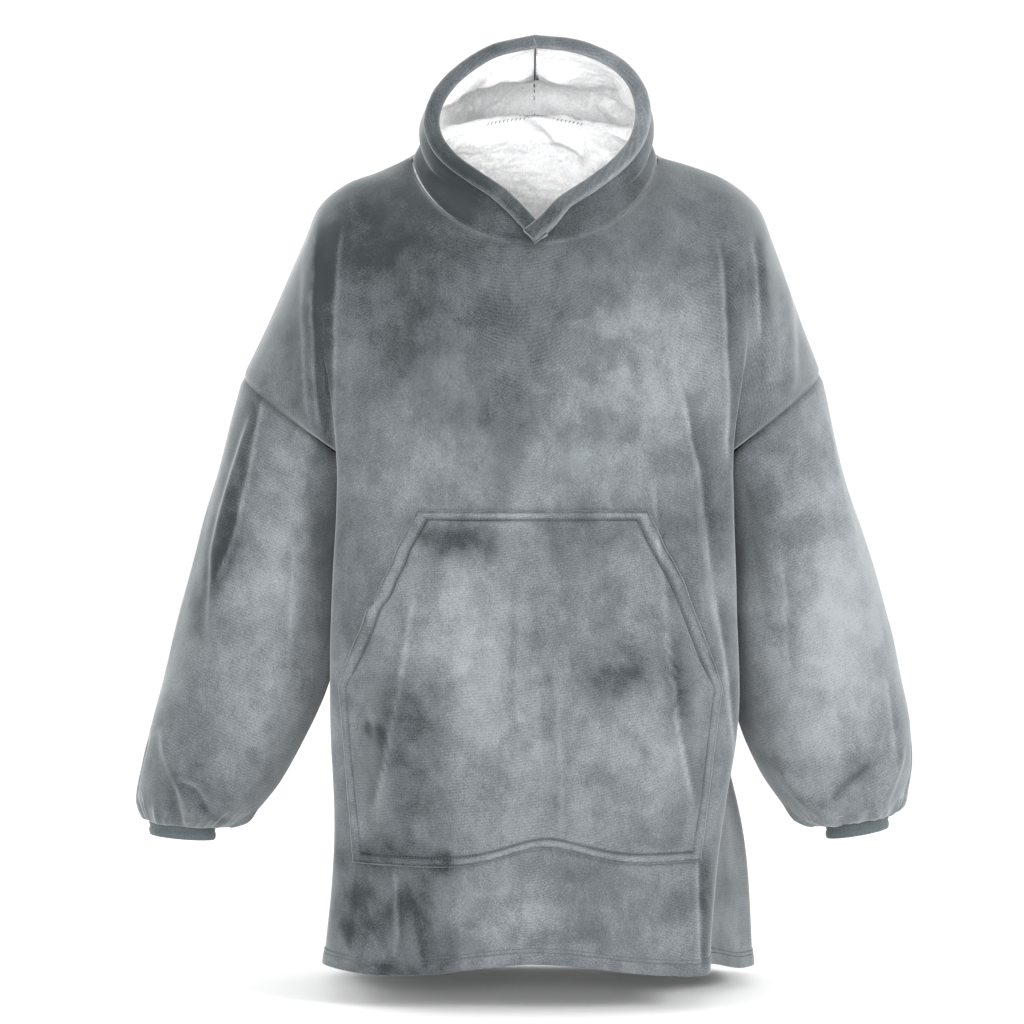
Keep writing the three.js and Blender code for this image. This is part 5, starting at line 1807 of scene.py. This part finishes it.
@dataclass
class Pocket:
    """The kangaroo pocket, laid on the front and turned in round its edge."""

    finishes: Finishes
    body: Body
    outline: tuple = (PocketLevel(-744, 191, 171), PocketLevel(-564, 205, 194), PocketLevel(-379, 123, 116))
    foot_z: float = -749.0
    width: float = 360.0
    sewn: float = 1.0
    room: float = 15.0
    mouth: float = 9.0
    ease: float = 70.0
    mouth_ease: float = 60.0
    trim: float = 7.5
    mouth_trim: float = 12.5
    creases: tuple = (
        Crease((-92, -430), (-152, -690), 4, 12, 16),
        Crease((-60, -450), (-66, -640), -3, 14, 14),
        Crease((118, -410), (158, -600), 3.5, 26, 9),
        Crease((158, -600), (166, -715), 3, 14, 9),
        Crease((-12, -440), (-4, -690), -4, 12, 12),
        Crease((34, -560), (44, -735), 4, 16, 10),
        Crease((78, -470), (92, -610), -3, 14, 14),
        Crease((-130, -610), (-176, -700), -3, 9, 9),
        Crease((-170, -575), (-150, -640), 2.5, 8, 8),
        Crease((128, -700), (60, -728), 2.5, 9, 9),
    )

    def foot(self, a: Array) -> Array:
        """Level of the pocket's foot at shares of its width from the wearer's right."""
        return self.foot_z + 21 * bell(a - 0.56, 0.16) + 4 * smoothstep(a, 0.6, 1)

    def columns(self) -> Array:
        """Shares of the width at the columns, closer at the turned sides."""
        side = np.linspace(0, 0.05, 13)
        return np.concatenate([side, np.linspace(0.05, 0.95, 101)[1:-1], 1 - side[::-1]])

    def rows(self) -> Array:
        """Shares of the height at the rows, closer at the turned ends."""
        end = np.linspace(0, 0.04, 10)
        return np.concatenate([end, np.linspace(0.04, 0.96, 91)[1:-1], 1 - end[::-1]])

    def build(self, front: Cloth) -> None:
        """Lays the pocket on the finished front panel.

        Args:
            front: The outer face of the front panel.
        """
        a, b = np.meshgrid(self.columns(), self.rows(), indexing="ij")
        top = self.outline[-1].z
        foot = self.foot(a)
        z = lerp(top, foot, b)
        levels = [row.z for row in self.outline]
        right = -np.interp(z, levels, [row.right for row in self.outline])
        left = np.interp(z, levels, [row.left for row in self.outline])
        x = lerp(right, left, a)
        under = self.under(front, x, z)
        from_side = np.minimum(a, 1 - a) * self.width
        from_ends = np.minimum(smoothstep(top - z, 0, self.ease), smoothstep(z - foot, 0, self.ease))
        sewn = smoothstep(from_side, 0, self.ease)
        gaping = lerp(self.mouth / self.room, 1, smoothstep(from_side, 0, self.mouth_ease))
        opened = smoothstep(z, -573, -523)
        off = self.sewn + self.room * from_ends * lerp(sewn, gaping, opened)
        facing = Cloth(under, flip=True).normals()
        base = Cloth(under + facing * off[..., None], flip=True)
        smooth = self.eased(base)
        soft = sum(c.rise(smooth.points[..., 0], smooth.points[..., 2]) for c in self.creases)
        soft = soft + 1.3 * Noise(61, 55, 3, (1, 1, 1.6)).at(smooth.points)
        soft = soft * smoothstep(from_side, 8, 40) * smoothstep(from_ends, 0.05, 0.8)
        inner = smooth.raised(0.3 + soft)
        thick = np.maximum(SHELL + self.turned_edges(smooth, opened), 0.7)
        outer = Cloth(inner.points + smooth.normals() * thick[..., None], flip=True)
        # the pocket's turned edge gets a painted highlight on its ridge and painted shade in its groove
        nap = self.body.nap(outer.points, outer.normals()[..., 1]) + self.edge_painted_light(smooth, opened)
        piece = cloth_wall("pocket_cloth", outer, inner, self.finishes.fleece, nap, Edge.ROUNDED)
        dress(piece, "pocket", smooth)
        self.stitch(outer, smooth, opened)

    def under(self, front: Cloth, x: Array, z: Array) -> Array:
        """Places on the front panel straight behind each point at x and z."""
        p = front.points
        ids = np.arange(p.shape[0] * p.shape[1]).reshape(p.shape[:2])
        quads = np.stack([ids[:-1, :-1], ids[:-1, 1:], ids[1:, 1:], ids[1:, :-1]], axis=-1).reshape(-1, 4)
        tree = BVHTree.FromPolygons(p.reshape(-1, 3).tolist(), quads.tolist())
        found = np.empty(x.shape + (3,))
        for index in np.ndindex(x.shape):
            hit = tree.ray_cast(Vector((x[index], -400.0, z[index])), Vector((0.0, 1.0, 0.0)))[0]
            found[index] = hit if hit else (x[index], -100.0, z[index])
        return found

    @staticmethod
    def eased(cloth: Cloth) -> Cloth:
        """Smooths out the small creases of what lies beneath."""
        p = cloth.points.copy()
        for _ in range(6):
            beside = p[2:, 1:-1] + p[:-2, 1:-1] + p[1:-1, 2:] + p[1:-1, :-2]
            p[1:-1, 1:-1] = 0.5 * p[1:-1, 1:-1] + 0.125 * beside
        return Cloth(p, flip=cloth.flip)

    def margins(self, cloth: Cloth, opened: Array) -> tuple[Array, Array]:
        """Distance of each point in from the nearest edge, in widths of the turning there.

        Args:
            cloth: The pocket.
            opened: 1 where its sides are the mouths, 0 where they are sewn down.

        Returns:
            The distance, and how strongly that edge shows.
        """
        down = cloth.down()
        side = cloth.from_sides() / lerp(self.trim, self.mouth_trim, opened)
        ends = np.minimum(down, down[:, -1:] - down) / self.trim
        return np.minimum(side, ends), np.where(side < ends, 0.35 + 0.65 * opened, 1.0)

    def turned_edges(self, cloth: Cloth, opened: Array) -> Array:
        """Height of the turned and stitched edge, in millimetres, least along the lower sides."""
        scaled, strong = self.margins(cloth, opened)
        uneven = Noise(67, 15, 3).at(cloth.points)
        raised = (1.5 + 0.9 * uneven) * (1 - smoothstep(scaled, 0.7, 1.0))
        groove = (2.3 + 0.8 * uneven) * bell(scaled - 1.1 - 0.08 * uneven, 0.17)
        return (raised - groove) * strong + 0.5 * uneven * (1 - smoothstep(scaled, 1.0, 2.2))

    def edge_painted_light(self, cloth: Cloth, opened: Array) -> Array:
        """Painted light along the turned edge: a painted highlight on its ridge, and painted shade in its
        groove and at its outer turn.
        """
        scaled, strong = self.margins(cloth, opened)
        uneven = Noise(71, 22, 3).at(cloth.points)
        ridge = (0.08 + 0.2 * uneven) * bell(scaled - 0.5, 0.3)
        # painted shade in the groove and along the outermost turn
        groove = 0.4 * bell(scaled - 1.12, 0.15) + 0.25 * bell(scaled, 0.12)
        return (ridge - groove * (1 + 0.6 * uneven)) * strong

    def stitch(self, outer: Cloth, smooth: Cloth, opened: Array) -> None:
        """Sews along the inner line of the turned edge.

        Args:
            outer: The finished outer face.
            smooth: The same cloth before its edge was turned.
            opened: 1 where its sides are the mouths, 0 where they are sewn down.
        """
        across, down = smooth.across(), smooth.down()
        trims = lerp(self.trim, self.mouth_trim, opened[0]) * 1.06
        inside = slice(np.searchsorted(down[len(down) // 2], self.trim), -12)
        runs = []
        for value in (trims, across[-1] - trims):
            place, out = outer.traced(across, value, 0)
            runs.append((place[inside], out[inside]))
        for value in (self.trim * 1.06, down[:, -1] - self.trim * 1.06):
            place, out = outer.traced(down, value, 1)
            runs.append((place[12:-12], out[12:-12]))
        thread = Stitching(self.finishes.grey_thread).run("pocket_stitches", runs)
        ride_on(thread)


@dataclass
class Studio:
    """Pale floor, soft lights and a camera a little above the middle of the front."""

    target: tuple[float, float, float] = CAMERA_TARGET
    distance: float = CAMERA_DISTANCE
    elevation: float = 2.5
    lens: float = 129.5
    floor_z: float = -905.0
    floor_reach: float = 14.0  # metres
    daylight: float = 1.08
    # name, place and side in metres, and power in watts
    soft_boxes: tuple = (
        ("key_soft_box", (2.9, -2.3, 1.0), 1.1, 95.0),
        ("front_soft_box", (-0.5, -4.3, -0.2), 1.6, 170.0),
        ("rim_soft_box", (-2.6, 1.6, 0.8), 1.4, 40.0),
    )

    def soft_light(self, name: str, place: tuple[float, float, float], size: float, power: float) -> None:
        """Adds a square soft box that faces the garment."""
        data = bpy.data.lights.new(name, "AREA")
        data.shape, data.size, data.energy = "SQUARE", size, power
        light = placed(name, data)
        light.location = place
        aim = Vector([c * MM for c in self.target]) - light.location
        light.rotation_euler = aim.to_track_quat("-Z", "Y").to_euler()

    def build(self) -> None:
        """Makes the floor, the lights and the camera."""
        mesh = bpy.data.meshes.new("studio_floor")
        z, r = self.floor_z * MM, self.floor_reach
        mesh.from_pydata([(-r, -r, z), (r, -r, z), (r, r, z), (-r, r, z)], [], [(0, 1, 2, 3)])
        n = Nodes("matt_white_floor")
        shader = n.add("BsdfPrincipled", Base_Color=linear("f6f6f6"), Roughness=0.9, Specular_IOR_Level=0.1)
        mesh.materials.append(n.finish(shader))
        placed("studio_floor", mesh)
        world = bpy.data.worlds.new("studio_air")
        world.use_nodes = True
        background = world.node_tree.nodes["Background"]
        background.inputs["Color"].default_value = linear("ffffff")
        background.inputs["Strength"].default_value = self.daylight
        scene = bpy.context.scene
        scene.world = world
        scene.view_settings.view_transform = "Standard"
        for name, place, size, power in self.soft_boxes:
            self.soft_light(name, place, size, power)
        data = bpy.data.cameras.new("front_camera")
        data.lens, data.sensor_width = self.lens, 36.0
        camera = placed("front_camera", data)
        tilt = math.radians(self.elevation)
        reach = self.distance * MM
        aim = Vector([c * MM for c in self.target])
        camera.location = aim + Vector((0.0, -reach * math.cos(tilt), reach * math.sin(tilt)))
        camera.rotation_euler = (aim - camera.location).to_track_quat("-Z", "Y").to_euler()
        scene.camera = camera


def sleeves(finishes: Finishes, body: Body) -> tuple[Sleeve, Sleeve]:
    """Both sleeves, with each side's own sections, cuff and creases."""
    right = Sleeve(
        Side.RIGHT, finishes, body,
        sections=(
            Section(277, 8, -388, 78, 80, 24), Section(290, 4, -481, 87, 80, 14),
            Section(311, 0, -560, 87, 80, 13), Section(334, -6, -620, 82, 77, 13),
            Section(354, -10, -668, 75, 70, 11), Section(367, -13, -697, 65, 58, 8),
            Section(372, -14, -714, 54, 47, 5),
        ),
        cuff=Section(383, -14, -736, 36, 26, 5),
        creases=(
            Crease((70, 20), (62, 180), 5, 8, 26), Crease((62, 170), (88, 260), 4, 8, 22),
            Crease((120, 60), (150, 300), -3, 16, 14), Crease((190, 60), (160, 220), 3, 18, 14),
            Crease((150, 280), (120, 380), -3.5, 14, 12), Crease((60, 380), (150, 440), 5, 9, 12),
            Crease((100, 420), (130, 470), -6, 8, 8), Crease((170, 420), (190, 480), -4, 9, 9),
            Crease((-60, 40), (-80, 220), 4, 20, 12), Crease((-150, 60), (-120, 260), -3, 16, 16),
            Crease((-190, 220), (-140, 380), 3.5, 14, 14), Crease((-70, 330), (-110, 440), -4, 12, 10),
            Crease((0, 120), (6, 340), 3, 16, 14), Crease((20, 400), (10, 470), -4, 10, 9),
        ),
    )
    left = Sleeve(
        Side.LEFT, finishes, body,
        sections=(
            Section(272, 8, -388, 73, 80, 22), Section(287, 4, -481, 87, 80, 12),
            Section(303, 0, -560, 92, 81, 9), Section(318, -6, -622, 90, 78, 8),
            Section(331, -10, -672, 79, 70, 6), Section(337, -13, -695, 66, 58, 6),
            Section(341, -14, -710, 55, 48, 7),
        ),
        cuff=Section(350, -14, -732, 34.5, 26, 9.5),
        creases=(
            Crease((40, 40), (60, 220), 3, 16, 14), Crease((200, 30), (180, 200), -4, 12, 12),
            Crease((120, 150), (180, 230), -3, 12, 14), Crease((90, 260), (200, 300), 3, 14, 14),
            Crease((60, 370), (130, 430), -5, 9, 10), Crease((50, 400), (100, 460), 4, 8, 10),
            Crease((150, 420), (170, 475), -4.5, 9, 9), Crease((210, 330), (180, 440), 3.5, 14, 12),
            Crease((-50, 60), (-70, 240), 4, 12, 18), Crease((-140, 50), (-120, 230), -3, 16, 16),
            Crease((-200, 240), (-150, 380), 3.5, 14, 14), Crease((-80, 350), (-120, 450), -4, 12, 10),
            Crease((-10, 140), (0, 330), 2.5, 18, 14), Crease((10, 400), (20, 470), -4, 9, 9),
        ),
    )
    return right, left


def main() -> None:
    """Builds the garment and its studio, and reports each piece."""
    Studio().build()
    finishes = Finishes()
    body = Body(finishes)
    smooth = {face: body.panel(face) for face in Face}
    outer = body.build()
    for sleeve in sleeves(finishes, body):
        sleeve.build(smooth)
    Hood(finishes, body).build(smooth)
    Pocket(finishes, body).build(outer[Face.FRONT])


if __name__ == "__main__":
    logging.basicConfig(level=logging.INFO, format="%(name)s: %(message)s")
    main()
